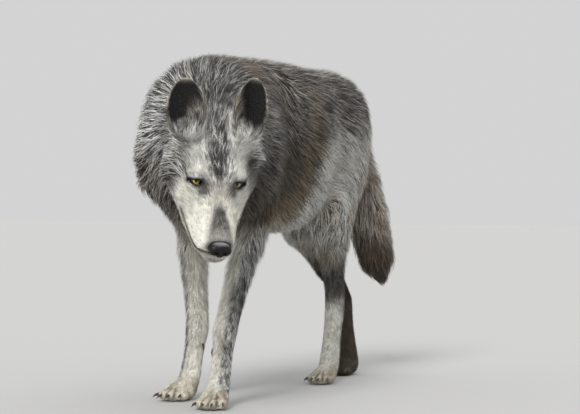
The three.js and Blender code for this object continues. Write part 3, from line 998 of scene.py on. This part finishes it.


# white in front and inside, dark with silver streaks outside, and pale feet with tan toes and painted shade
# between them
def paintLegs(fur, points, normals, x, y, z):
    outer = normals[:, 0] * np.sign(x - middleLine)
    rear = normals[:, 1]
    fore = (1 - band("foreleg", z)) * (1 - band("halfway", y))
    fur.lay("frost", "cream", 0.9, fore)
    fur.lay("black", "silver", 0.5, 0.9 * fore * np.maximum(band("foreOuter", outer), band("foreRear", rear)))
    streaks = band("foreSide", outer) * drift("foreleg", points) * band("forePastern", z)
    fur.lay("soot", "ash", 0.4, 0.5 * fore * streaks)
    hind = (1 - band("hindleg", z)) * band("halfway", y)
    fur.lay("soot", "cream", 0.85, hind * band("hock", z))
    fur.lay("silver", "cream", 0.85, hind * (1 - band("hock", z)))
    fur.lay("soot", "silver", 0.55, 0.3 * hind * band("hindOuter", outer))
    fur.lay("brown", "tan", 0.5, 0.5 * hind * band("hindFront", -rear) * band("shank", z))
    fur.lay("umber", "tan", 0.4, 0.6 * hind * band("hindRear", rear))
    fur.lay("black", "umber", 0.35, 0.8 * hind * band("hockFoot", z) * (1 - band("hockTop", z)))
    fur.lay("umber", "brown", 0.35, 0.95 * (1 - band("rearLeg", z)) * band("rearmost", y))
    feet = (1 - band("feet", z)) * (1 - band("behindFeet", y))
    fur.lay("tan", "cream", 0.8, 0.7 * feet)
    fur.lay("brown", "tan", 0.5, 0.5 * feet * drift("toes", points))
    # painted shade: dark lines in the clefts between the toes
    for a, b in toeGaps:
        along = np.clip(((points - a) @ (b - a)) / ((b - a) @ (b - a)), 0, 1)
        off = np.linalg.norm((points - a - along[:, None] * (b - a))[:, :2], axis=1)
        fur.lay("black", "umber", 0.3, 0.75 * (1 - band("toeCleftShade", off)) * (1 - band("toes", z)))


# chestnut at its root, through dark brown to a black tip
def paintTail(fur, x, y, z):
    tail = band("tail", aslant("tail", y, z)) * (1 - band("tailRoot", z)) * band("tailEnd", z)
    tail = tail * (x > tailSpan[0]) * (x < tailSpan[1])
    fur.lay("chestnut", "dust", 0.8, tail)
    fur.lay("umber", "brown", 0.35, 0.9 * tail * (1 - band("tailDark", z)))
    fur.lay("black", "umber", 0.3, tail * (1 - band("tailTip", z)))


def paintEar(fur, name, side, face):
    across, height, inside = inEar(name, *face.T)[:3]
    ear = (abs(across) < earMarks["wide"]) * (abs(inside) < earMarks["thick"]) * (height < earMarks["tall"])
    ear = ear * band("earFoot", height)
    fur.lay("soot", "ash", 0.35, ear)
    inner = ear * band("earInner", inside)
    edge = np.maximum(abs(across), height)
    fur.lay("black", "black", 1.0, inner * (1 - band("earHollow", edge)))
    tuft = oval(np.stack([across * side, height], 1), *earMarks["tuft"], earMarks["soft"])
    fur.lay("black", "dust", 0.22, 0.85 * inner * tuft)
    fur.lay("rim", "cream", 0.6, 0.75 * ear * band("earEdge", edge) * band("earTip", height))
    middle, radii = earMarks["inner"]
    nearInner = oval(face, mirror(middle, side), radii, earMarks["soft"])
    fur.lay("ash", "frost", 0.7, 0.8 * nearInner * (1 - inner))
    middle, radii = earMarks["front"]
    inFront = oval(face, np.add(ears[name]["base"], mirror(middle, side)), radii, earMarks["soft"])
    fur.lay("soot", "ash", 0.3, 0.9 * inFront)


# silver white, with a dark wedge that runs down the forehead to a point, and a dark stripe down the bridge
def paintHead(fur, face):
    h, f, c = face.T
    wide = abs(h)
    ahead = np.where(f > headReach["middle"], 1, headReach["ahead"]) * (f - headReach["middle"])
    far = np.sqrt(h * h + ahead ** 2 + (c - headReach["height"]) ** 2)
    onHead = (1 - band("head", far)) * (1 - band("headSide", wide))
    fur.lay("soot", "frost", 0.5, onHead)
    fur.lay("ash", "frost", 0.72, onHead * (1 - band("crown", f)))
    wedge = onHead * (1 - band("wedgeSide", aslant("wedge", wide, f)))
    fur.lay("black", "frost", 0.1, wedge * band("wedgeStart", f) * (1 - band("wedgeEnd", f)))
    point = onHead * (1 - band("pointSide", aslant("point", wide, f)))
    fur.lay("black", "ash", 0.12, 0.9 * point * band("pointStart", f) * (1 - band("pointEnd", f)))
    fur.lay("frost", "cream", 1.0, onHead * (1 - band("muzzle", aslant("muzzle", f, wide))))
    for name, side in sides.items():
        for patch in onBothSides:
            fur.patch(patch, face, side)
        fur.lay("black", "black", 1.0, 1 - band("lidRim", lidDistance(face, side)))
        paintEar(fur, name, side, face)
    fur.patch("betweenEyes", face)
    stripe = band("stripeStart", -f) * (1 - band("stripeSide", aslant("stripe", wide, -f)))
    stripe = stripe * band("stripeHeight", c) * (1 - 0.25 * band("stripeEnd", -f))
    fur.lay("black", "ash", 0.3, 0.95 * stripe)
    fur.lay("soot", "soot", 0.5, 1 - band("nosePad", ellipsoid(h, f, c, nose["middle"], nose["radii"])))
    lip = (1 - band("lipEnd", f)) * onHead
    fur.lay("brown", "tan", 0.5, 0.7 * lip * (1 - band("underLip", abs(c - lipHeight(f) + 4))))
    fur.lay("black", "black", 1.0, lip * (1 - band("lips", abs(c - lipHeight(f)))))
    fur.patch("chin", face)


def markings(points, normals):
    fur = Fur(len(points))
    waves = np.stack([wander(points, blur["size"], seed) for seed in blur["seeds"]], 1)
    x, y, z = (points + blur["reach"] * waves).T
    paintBody(fur, points, x, y, z)
    paintLegs(fur, points, normals, x, y, z)
    paintTail(fur, x, y, z)
    paintHead(fur, toHead(points))
    return fur.root, fur.tip, fur.light


# eyes: a ball with a raised cornea, turned to where the wolf looks
gaze = {
    "turn": -10,  # degrees that both eyes look to the wolf's right
    "apart": 6,  # degrees that each looks outward
    "upward": 37,
    "cornea": 1.5,  # mm that it stands out, over this angle from the middle
    "corneaAngle": 38,
    "iris": 7.8,  # mm, radii
    "pupil": 3.3,
    "rings": 28,
    "spokes": 40,
    "irisEnd": 1.5,  # radians from the middle, past which the ball counts as white
    "white": 20,
    "fibres": (3.0, 3.0, 0.6),  # scale, detail and roughness
    "fibreStretch": 0.15,
    "fibreTurn": (0.3, 0.7),
    "rimEdge": (0.70, 0.98),  # shares of the iris's and the pupil's radius where one tint turns into the next
    "irisEdge": (0.97, 1.08),
    "pupilEdge": (0.85, 1.1),
    "spokeScale": 10,
}
eyeTints = {
    "pupil": colour(6, 5, 5),
    "fibre": colour(136, 102, 30),
    "amber": colour(214, 188, 88),
    "rim": colour(44, 30, 12),
    "white": colour(36, 28, 24),
}


def eyeLook(pen):
    ring = attribute(pen, "ring")
    spoke = attribute(pen, "spoke")
    drawnOut = pen.take(pen.node("ShaderNodeCombineXYZ", X=spoke, Y=ring * gaze["fibreStretch"]))
    fibres = noise(pen, *gaze["fibres"], at=drawnOut)
    iris, pupil = gaze["iris"], gaze["pupil"]
    made = fibres.between(*gaze["fibreTurn"]).tint(eyeTints["fibre"], eyeTints["amber"])
    made = ring.between(*(iris * share for share in gaze["rimEdge"])).tint(made, eyeTints["rim"])
    made = ring.between(*(iris * share for share in gaze["irisEdge"])).tint(made, eyeTints["white"])
    made = ring.between(*(pupil * share for share in gaze["pupilEdge"])).tint(eyeTints["pupil"], made)
    return {"Base Color": made}


def addEye(name, side, finish):
    rings, spokes = gaze["rings"], gaze["spokes"]
    radius = head["eyeRadius"]
    turn, lift = math.radians(gaze["turn"] + side * gaze["apart"]), math.radians(gaze["upward"])
    forward = np.array([math.sin(turn) * math.cos(lift), -math.cos(turn) * math.cos(lift), math.sin(lift)])
    across = unit(np.cross([0, 0, 1], forward))
    above = np.cross(forward, across)
    angles = np.linspace(0, math.pi, rings + 1)[1:-1]
    turns = np.linspace(0, 2 * math.pi, spokes, endpoint=False)
    tall = radius + gaze["cornea"] * (1 - ease(0, math.radians(gaze["corneaAngle"]), angles))
    outward = np.cos(turns)[:, None] * across + np.sin(turns)[:, None] * above
    points = np.cos(angles)[:, None, None] * forward + np.sin(angles)[:, None, None] * outward
    points = (tall[:, None, None] * points).reshape(-1, 3)
    points = np.concatenate([points, [(radius + gaze["cornea"]) * forward, -radius * forward]])
    placed = headOrigin + (points + np.array(mirror(head["eyeMiddle"], side))) * mm @ headTurn
    # strips of four-cornered faces between the rings, closed at both poles
    base = np.arange(spokes)
    after = (base + 1) % spokes
    starts = np.arange(rings - 2)[:, None] * spokes
    strips = np.stack([base + starts, after + starts, after + starts + spokes, base + starts + spokes], 2)
    front, rear = len(points) - 2, len(points) - 1
    last = (rings - 2) * spokes
    ends = np.concatenate([np.stack([after, base, np.full(spokes, front)], 1),
                           np.stack([base + last, after + last, np.full(spokes, rear)], 1)])
    piece = addMesh("eyeball_" + name, placed, [ends, strips.reshape(-1, 4)[:, ::-1]], finish)
    ring = np.where(angles < gaze["irisEnd"], radius * np.sin(angles), gaze["white"])
    addValues(piece, "ring", np.append(np.repeat(ring, spokes), [0, gaze["white"]]))
    spoke = gaze["spokeScale"] * abs(turns - math.pi)
    addValues(piece, "spoke", np.append(np.tile(spoke, rings - 1), [0, 0]))
    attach(piece, "root")
    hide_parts("eye_" + name)


# nose: one pad with wings, nostrils with their side slits, and the groove under them; middles and half sizes
# in mm, from the nose's middle and on its left side, and for a slit its ends and radius
nose = {
    "middle": (0, -146, -44),
    "radii": (25, 16, 16.5),
    "margin": 6,
    "step": 0.8,
    "pad": ((0, 2, 2), (20, 15, 12.5)),
    "foot": ((0, -3, -7), (11, 11.5, 11)),
    "wing": ((14, -3, -1), (10, 11, 11.5)),
    "nostril": ((9.5, -14, -2.5), (5.4, 8, 5.2)),
    "slit": ((12, -14, -5), (25, -5, -7), 2.3),
    "groove": ((0, -15, -18), (0, -16, 3), 1.7),
    "footJoin": 5,
    "wingJoin": 4,
    "slitJoin": 2,
    "cutJoin": 1.5,
    "paintedSheenFrom": 0.5,  # share of the height where the pale top, a painted sheen standing for reflected sky, begins, more so towards the back
    "paintedSheenBack": 0.45,
    "tint": colour(10, 10, 11),
    # colour of the painted sheen: a pale bluish top that stands for the sky's reflection
    "paintedSheen": colour(132, 132, 138),
    "patchy": (60.0, 3.0),  # scale and detail of the patches in the painted sheen
    "pebbles": 520.0,  # scale of the pebbled skin
    "pebbleStrength": 0.5,
    "pebbleHeight": 0.0006,
}


# distance to a rod between two places, in mm
def rod(x, y, z, a, b, radius):
    ab = np.array(b, float) - a
    t = np.clip(((x - a[0]) * ab[0] + (y - a[1]) * ab[1] + (z - a[2]) * ab[2]) / (ab @ ab), 0, 1)
    return np.sqrt(sum((v - p - t * q) ** 2 for v, p, q in zip((x, y, z), a, ab))) - radius


def addNose(finish):
    margin, step = nose["margin"], nose["step"]
    axes = [np.arange(m - r - margin, m + r + margin, step) for m, r in zip(nose["middle"], nose["radii"])]
    x, y, z = np.meshgrid(*axes, indexing="ij")
    x, y, z = (v - m for v, m in zip((x, y, z), nose["middle"]))
    pad = joined(ellipsoid(x, y, z, *nose["pad"]), ellipsoid(x, y, z, *nose["foot"]), nose["footJoin"])
    for side in sides.values():
        middle, radii = nose["wing"]
        pad = joined(pad, ellipsoid(x, y, z, mirror(middle, side), radii), nose["wingJoin"])
    for side in sides.values():
        middle, radii = nose["nostril"]
        nostril = ellipsoid(x, y, z, mirror(middle, side), radii)
        start, end, radius = nose["slit"]
        slit = rod(x, y, z, mirror(start, side), mirror(end, side), radius)
        pad = -joined(-pad, joined(nostril, slit, nose["slitJoin"]), nose["cutJoin"])
    pad = -joined(-pad, rod(x, y, z, *nose["groove"]), nose["cutJoin"])
    points, faces = surfaceOf([a * mm for a in axes], pad * mm)
    points = headOrigin + points @ headTurn
    piece = addMesh("nose_pad", points, faces, finish)
    # the share of painted sheen, greater towards the top and back of the pad
    _, back, height = ((toHead(points) - nose["middle"]) / nose["radii"]).T
    addValues(piece, "paintedSheen", ease(nose["paintedSheenFrom"], 1.0, height + nose["paintedSheenBack"] * back))
    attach(piece, "root")
    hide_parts("nose")


def noseLook(pen):
    pebbles = pen.node("ShaderNodeTexVoronoi", Vector=ownPlace(pen), Scale=nose["pebbles"])
    patchy = noise(pen, *nose["patchy"])
    # painted sheen: the top of the pad made paler in patches, as if it reflected the sky
    share = attribute(pen, "paintedSheen") * (patchy * 0.8 + 0.5)
    return {
        "Base Color": share.tint(nose["tint"], nose["paintedSheen"]),
        "Roughness": patchy * 0.3 + 0.3,
        "Normal": bump(pen, pen.take(pebbles, "Distance"), nose["pebbleStrength"], nose["pebbleHeight"]),
    }


# the coat: closed three-sided locks, combed over the skin
coat = {
    "seed": 11,
    "lengths": (0.7, 1.15),  # of the hair's length, the shortest and the longest locks
    "widths": (0.75, 1.25),
    "stray": 0.26,  # how far locks turn from the lie, in radians
    "swirl": {"turn": 0.22, "size": 0.03, "seed": 21},  # how far whole patches turn, and their size in m
    "sunk": 0.4,  # mm that roots start under the skin
    "step": 0.96,  # of the hair's length that a lock covers along the skin
    "rise": (0.5, 1.0),  # of the coat's depth that tips reach
    "arch": 1.8,  # how early a lock rises
    "lowest": 0.2,  # mm over the floor
    "clump": 0.30,  # how far tips gather, and how late along the lock
    "clumpLate": 1.3,
    "clumpSize": 8,  # mm
    "strandSize": 5.5,  # mm between strands of one shade
    "shared": 0.76,  # how much of its shade a lock shares with its strand
    "cellEdge": 0.14,  # how ragged the cells of clumps and strands are
    "shortCell": 0.5,  # their size where the hair is short
    "guard": {"rise": 0.14, "hair": 1.15, "width": 0.85, "root": 0.85},  # how the light locks differ
    "lightEdge": (0.12, 0.88),  # how sharply light locks end where their share falls
    "darkWidth": 1.1,
    "darkTip": 0.94,  # how far the tips of the dark locks keep the colour of their roots
    "thickness": 0.5,  # of a lock's width
    "profile": ((0, 0.3, 1), (0.75, 1, 0.4)),  # places along a lock, and its width there
    "steps": 3,  # that a lock is combed in
    "noseGap": 0.3,  # mm round the nose and the eyes' openings that stay bare
    "eyeGap": 2.0,
    "mostTriangles": 190000,
    "patch": 0.003,
}
# each piece: the kinds of coat in it, its slot, and the steps at which its locks have a ring of corners
coatPieces = {
    "haunch": (("haunch",), "haunch", (0, 1)),
    "head": (("lids", "muzzle", "face", "crown", "cheek", "jaw", "ear", "earTuft"), "face", (0,)),
    "leg": (("upperLeg", "shin", "foot"), "leg", (0,)),
    "neck": (("neck", "ruff"), "coat", (0, 1, 2)),
    "tail": (("tail",), "tail", (0, 1, 2)),
    "trunk": (("trunk", "shoulder"), "coat", (0, 1)),
}


# roots spread over a mesh of four-cornered faces, closer where the coat is finer
def scatter(points, quads, draw):
    corners = points[quads]
    diagonals = corners[:, 2] - corners[:, 0], corners[:, 3] - corners[:, 1]
    area = 0.5 * np.linalg.norm(np.cross(*diagonals), axis=1)
    spacing = wideField["spacing"].at(corners.mean(1))
    running = np.cumsum(area / spacing ** 2)
    count = int(running[-1])
    face = np.searchsorted(running, np.arange(count) + draw.random(count))
    face = np.minimum(face, len(quads) - 1)
    u, v = draw.random((2, count, 1))
    a, b, c, d = corners[face].transpose(1, 0, 2)
    return blend(blend(a, b, u), blend(d, c, u), v)


# a number for each small block of space that roots share, finer where the hair is short
def cells(roots, size, values, draw, short=20 * mm):
    size = size * np.where(values["hair"] < short, coat["shortCell"], 1) * mm
    ragged = draw.normal(0, coat["cellEdge"], (len(roots), 3))
    key = np.floor(roots / size[:, None] + ragged).astype(np.int64)
    key = np.concatenate([key, np.round(size / mm)[:, None].astype(np.int64)], 1)
    return np.unique(key, axis=0, return_inverse=True)[1].ravel()


# the way of each lock from its root to its tip, and the skin's normal at its root
def comb(roots, values, light, draw):
    count = len(roots)
    steps = coat["steps"]
    guard, swirl = coat["guard"], coat["swirl"]
    hair = values["hair"] * draw.uniform(*coat["lengths"], count) * np.where(light, guard["hair"], 1)
    rise = values["depth"] * (draw.uniform(*coat["rise"], count) + guard["rise"] * light)
    stray = draw.normal(0, coat["stray"], count) + swirl["turn"] * wander(roots, swirl["size"], swirl["seed"])
    spot = roots.copy()
    first = normal = skinField.slope(spot)
    path = [spot - normal * coat["sunk"] * mm]
    for k in range(1, steps + 1):
        flow = values["flow"] + np.cross(normal, values["flow"]) * np.tan(stray)[:, None]
        ahead = unit(flow - (flow * normal).sum(1, keepdims=True) * normal)
        spot = spot + ahead * (hair / steps)[:, None] * coat["step"]
        normal = skinField.slope(spot)
        height = rise * (1 - (1 - k / steps) ** coat["arch"])
        spot = spot + normal * (height - skinField.at(spot))[:, None]
        path.append(spot)
    path = np.stack(path, 1)
    path[..., 2] = np.maximum(path[..., 2], coat["lowest"] * mm)
    # tips gather in clumps
    clump = cells(roots, coat["clumpSize"], values, draw)
    size = np.bincount(clump)
    for k in range(1, steps + 1):
        middle = np.stack([np.bincount(clump, path[:, k, i]) for i in range(3)], 1) / size[:, None]
        gather = coat["clump"] * (k / steps) ** coat["clumpLate"]
        path[:, k] = blend(path[:, k], middle[clump], gather)
    return path, first


# the corners and faces of all locks at once; each has rings of three and a tip
def lockMesh(path, first, width):
    count, places = path.shape[:2]
    rings = places - 1
    profile = np.interp(np.arange(rings) / rings, *coat["profile"])
    ahead = unit(np.diff(path, axis=1))
    points = np.empty((count, rings * 3 + 1, 3))
    for ring in range(rings):
        side = unit(np.cross(ahead[:, ring], first))
        top = np.cross(side, ahead[:, ring])
        reach = 0.5 * (width * profile[ring])[:, None]
        for corner in range(3):
            angle = math.radians(90 + corner * 360 / 3)
            spread = math.cos(angle) * side + math.sin(angle) * coat["thickness"] * top
            points[:, ring * 3 + corner] = path[:, ring] + reach * spread
    points[:, -1] = path[:, -1]
    quads, quadMap, ends, endMap = [], [], [], []
    for ring in range(rings):
        for a in range(3):
            b = (a + 1) % 3
            if ring < rings - 1:
                quads.append([ring * 3 + a, ring * 3 + b, ring * 3 + 3 + b, ring * 3 + 3 + a])
                quadMap += [(a, ring), (a + 1, ring), (a + 1, ring + 1), (a, ring + 1)]
            else:
                ends.append([ring * 3 + a, ring * 3 + b, rings * 3])
                endMap += [(a, ring), (a + 1, ring), (a + 0.5, ring + 1)]
    ends.append([2, 1, 0])
    endMap += [(2, 0), (1, 0), (0, 0)]
    starts = (np.arange(count) * (rings * 3 + 1))[:, None, None]
    faces = [(starts + np.array(f)).reshape(-1, len(f[0])) for f in (ends, quads) if f]
    corners = [np.array(m) / (3, rings) for m in (endMap, quadMap) if m]
    return points.reshape(-1, 3), faces, corners


# places on an even square for roots unwrapped round a line, with their neighbours kept
def unwrap(angle, along):
    rows = math.ceil(math.sqrt(len(angle)))
    row = np.empty(len(angle), int)
    row[np.argsort(along)] = np.arange(len(angle)) // rows
    order = np.lexsort((angle, row))
    column = np.empty(len(angle), int)
    column[order] = np.arange(len(angle)) - row[order] * rows
    return (np.stack([column, row], 1) + 0.5) / rows


def addCoat(name, locks, finish):
    path = locks["path"]
    rings = path.shape[1] - 1
    points, faces, corners = lockMesh(path, locks["first"], locks["width"])
    piece = addMesh("coat_" + name, points, faces, finish)
    places = len(points) // len(path)
    addValues(piece, "markings", np.repeat(locks["root"], places, 0))
    addValues(piece, "tips", np.repeat(locks["tip"], places, 0))
    addValues(piece, "along", np.tile(np.append(np.repeat(np.arange(rings) / rings, 3), 1), len(path)))
    addValues(piece, "tone", np.repeat(locks["tone"], places))
    spot = unwrap(locks["angle"], locks["along"])[:, None] - 0.5 * coat["patch"]
    uv = np.concatenate([(spot + coat["patch"] * c).reshape(-1, 2) for c in corners])
    layer = piece.data.uv_layers.new(name="OFBake")
    layer.uv.foreach_set("vector", uv.astype(np.float32).ravel())
    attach(piece, "root")
    size = sum(len(f) * (f.shape[1] - 2) for f in faces)
    print("coat", name, len(path), "locks", size, "triangles")
    return size


# every lock, with its shape, its colours and its place round and along its part's own line
def makeLocks(points, quads):
    draw = np.random.default_rng(coat["seed"])
    roots = scatter(points, quads, draw)
    face = toHead(roots)
    bare = ellipsoid(*face.T, nose["middle"], nose["radii"]) < coat["noseGap"]
    for side in sides.values():
        bare |= lidDistance(face, side) < coat["eyeGap"]
    roots = roots[~bare]
    values = coatAt(roots)
    under, over, grizzle = markings(roots, skinField.slope(roots))
    strand = cells(roots, coat["strandSize"], values, draw, 9 * mm)
    shared = draw.random((2, strand.max() + 1))[:, strand]
    chance, tone = blend(draw.random((2, len(roots))), shared, coat["shared"])
    light = ease(*coat["lightEdge"], chance) < grizzle
    root = paint(under, over, coat["guard"]["root"] * light)
    tip = paint(over, under, np.where(light, 0.0, coat["darkTip"]))
    path, first = comb(roots, values, light, draw)
    width = values["width"] * draw.uniform(*coat["widths"], len(roots))
    width = width * np.where(light, coat["guard"]["width"], coat["darkWidth"])
    starts = np.array([line[0] for kind, line in coatLines])[values["line"]]
    heads = np.array([unit(line[-1] - line[0]) for kind, line in coatLines])[values["line"]]
    offset = roots - starts
    along = (offset * heads).sum(1)
    offset -= along[:, None] * heads
    angle = np.arctan2(offset[:, 0], offset[:, 2] + offset[:, 1])
    return {
        "kinds": np.array([kind for kind, line in coatLines])[values["line"]],
        "roots": roots,
        "starts": starts,
        "path": path,
        "first": first,
        "width": width,
        "root": root,
        "tip": tip,
        "tone": tone,
        "angle": angle,
        "along": along,
    }


# the coat in pieces for each part and side, in slices from head to tail where a piece would be too large
def growCoat(points, quads, finish):
    locks = makeLocks(points, quads)
    across = locks["roots"][:, 0]
    total = 0
    for part, (kinds, slot, rings) in coatPieces.items():
        middle = middleLine if part in ("leg", "haunch") else locks["starts"][:, 0]
        offMiddle = toHead(locks["roots"])[:, 0] if part == "head" else across - middle
        for name, side in sides.items():
            chosen = np.flatnonzero(np.isin(locks["kinds"], kinds) & (offMiddle * side > 0))
            if not len(chosen):
                continue
            triangles = len(chosen) * (6 * len(rings) - 2)
            slices = math.ceil(triangles / coat["mostTriangles"])
            inOrder = chosen[np.argsort(locks["roots"][chosen, 1])]
            for number, rows in enumerate(np.array_split(inOrder, slices)):
                label = part + "_" + name + ("_%d" % (number + 1) if slices > 1 else "")
                some = {key: value[rows] for key, value in locks.items()}
                some["path"] = some["path"][:, [*rings, coat["steps"]]]
                total += addCoat(label, some, finish)
    print("coat in all", total, "triangles")


coatTints = {
    "flecks": (260.0, 2.0, 0.6),  # scale, detail and roughness
    "turn": (0.12, 0.62),  # where along a lock the root's colour turns into the tip's
    "ragged": 0.35,  # how far flecks move that place, about this middle
    "middle": 0.17,
    "darkest": 0.25,
    "byLock": 1.1,  # how much lighter the lightest lock and fleck are
    "byFleck": 0.4,
}


def coatLook(pen):
    fleck = noise(pen, *coatTints["flecks"])
    moved = attribute(pen, "along") + coatTints["ragged"] * fleck - coatTints["middle"]
    share = moved.between(*coatTints["turn"])
    blended = share.tint(attribute(pen, "markings", "Color"), attribute(pen, "tips", "Color"))
    shade = attribute(pen, "tone") * coatTints["byLock"] + fleck * coatTints["byFleck"] + coatTints["darkest"]
    return {"Base Color": blended.scaled(shade)}


skinGrain = {"noise": (420.0, 4.0, 0.7), "darkest": 0.35, "strength": 0.6, "height": 0.0012}


def skinLook(pen):
    grain = noise(pen, *skinGrain["noise"])
    base = attribute(pen, "markings", "Color").scaled(grain + skinGrain["darkest"])
    return {"Base Color": base, "Normal": bump(pen, grain, skinGrain["strength"], skinGrain["height"])}


horn = {
    "dark": colour(30, 26, 24),
    "light": colour(92, 80, 68),
    "streaks": (90.0, 3.0, 0.6),
    "turn": (0.3, 0.75),  # of the streaks' noise, from dark to light
}


def clawLook(pen):
    streak = noise(pen, *horn["streaks"])
    base = streak.between(*horn["turn"]).tint(horn["dark"], horn["light"])
    return {"Base Color": base, "Roughness": streak * 0.25 + 0.25}


def floorLook(pen):
    return {"Roughness": noise(pen, 3.0) * 0.1 + 0.75}


addCamera()
addStudio()
print("camera and studio made")
coatFinish = material("coat", {"Roughness": 0.6, "Specular IOR Level": 0.3, "Sheen Weight": 0.1}, coatLook)
skinFinish = material("skin", {"Specular IOR Level": 0.3, "Roughness": 0.75}, skinLook)
clawFinish = material("claw", {"Specular IOR Level": 0.5}, clawLook)
eyeFinish = material("eye", {"Roughness": 0.25, "Coat Weight": 1.0, "Coat Roughness": 0.03}, eyeLook)
noseFinish = material("nose", {"Specular IOR Level": 0.3}, noseLook)
floorFinish = material("floor", {"Base Color": (*studio["floor"], 1)}, floorLook)

skinField = makeSkin()
points, faces = surfaceOf(skinField.axes, skinField.values, skin["adaptivity"])
skinPiece = addMesh("skin", points, faces, skinFinish)
rootTint, tipTint, _ = markings(points, skinField.slope(points))
addValues(skinPiece, "markings", blend(rootTint, tipTint, skin["tipShare"]))
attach(skinPiece, "root")
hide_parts(*fleshNodes)
print("skin made:", len(points), "points", sum(len(f) * (f.shape[1] - 2) for f in faces), "triangles")

for name, side in sides.items():
    addEye(name, side, eyeFinish)
addNose(noseFinish)
for claw in (node for name, node in nodes.items() if "claw" in name):
    for index in range(len(claw.data.materials)):
        claw.data.materials[index] = clawFinish
print("eyes, nose and claws made")

points, faces = surfaceOf(skinField.axes, skinField.values)
growCoat(points, faces[-1], coatFinish)

bpy.ops.mesh.primitive_plane_add(size=studio["floorSize"])
floor = bpy.context.object
floor.name = "floor"
floor.data.materials.append(floorFinish)
print("wolf finished")
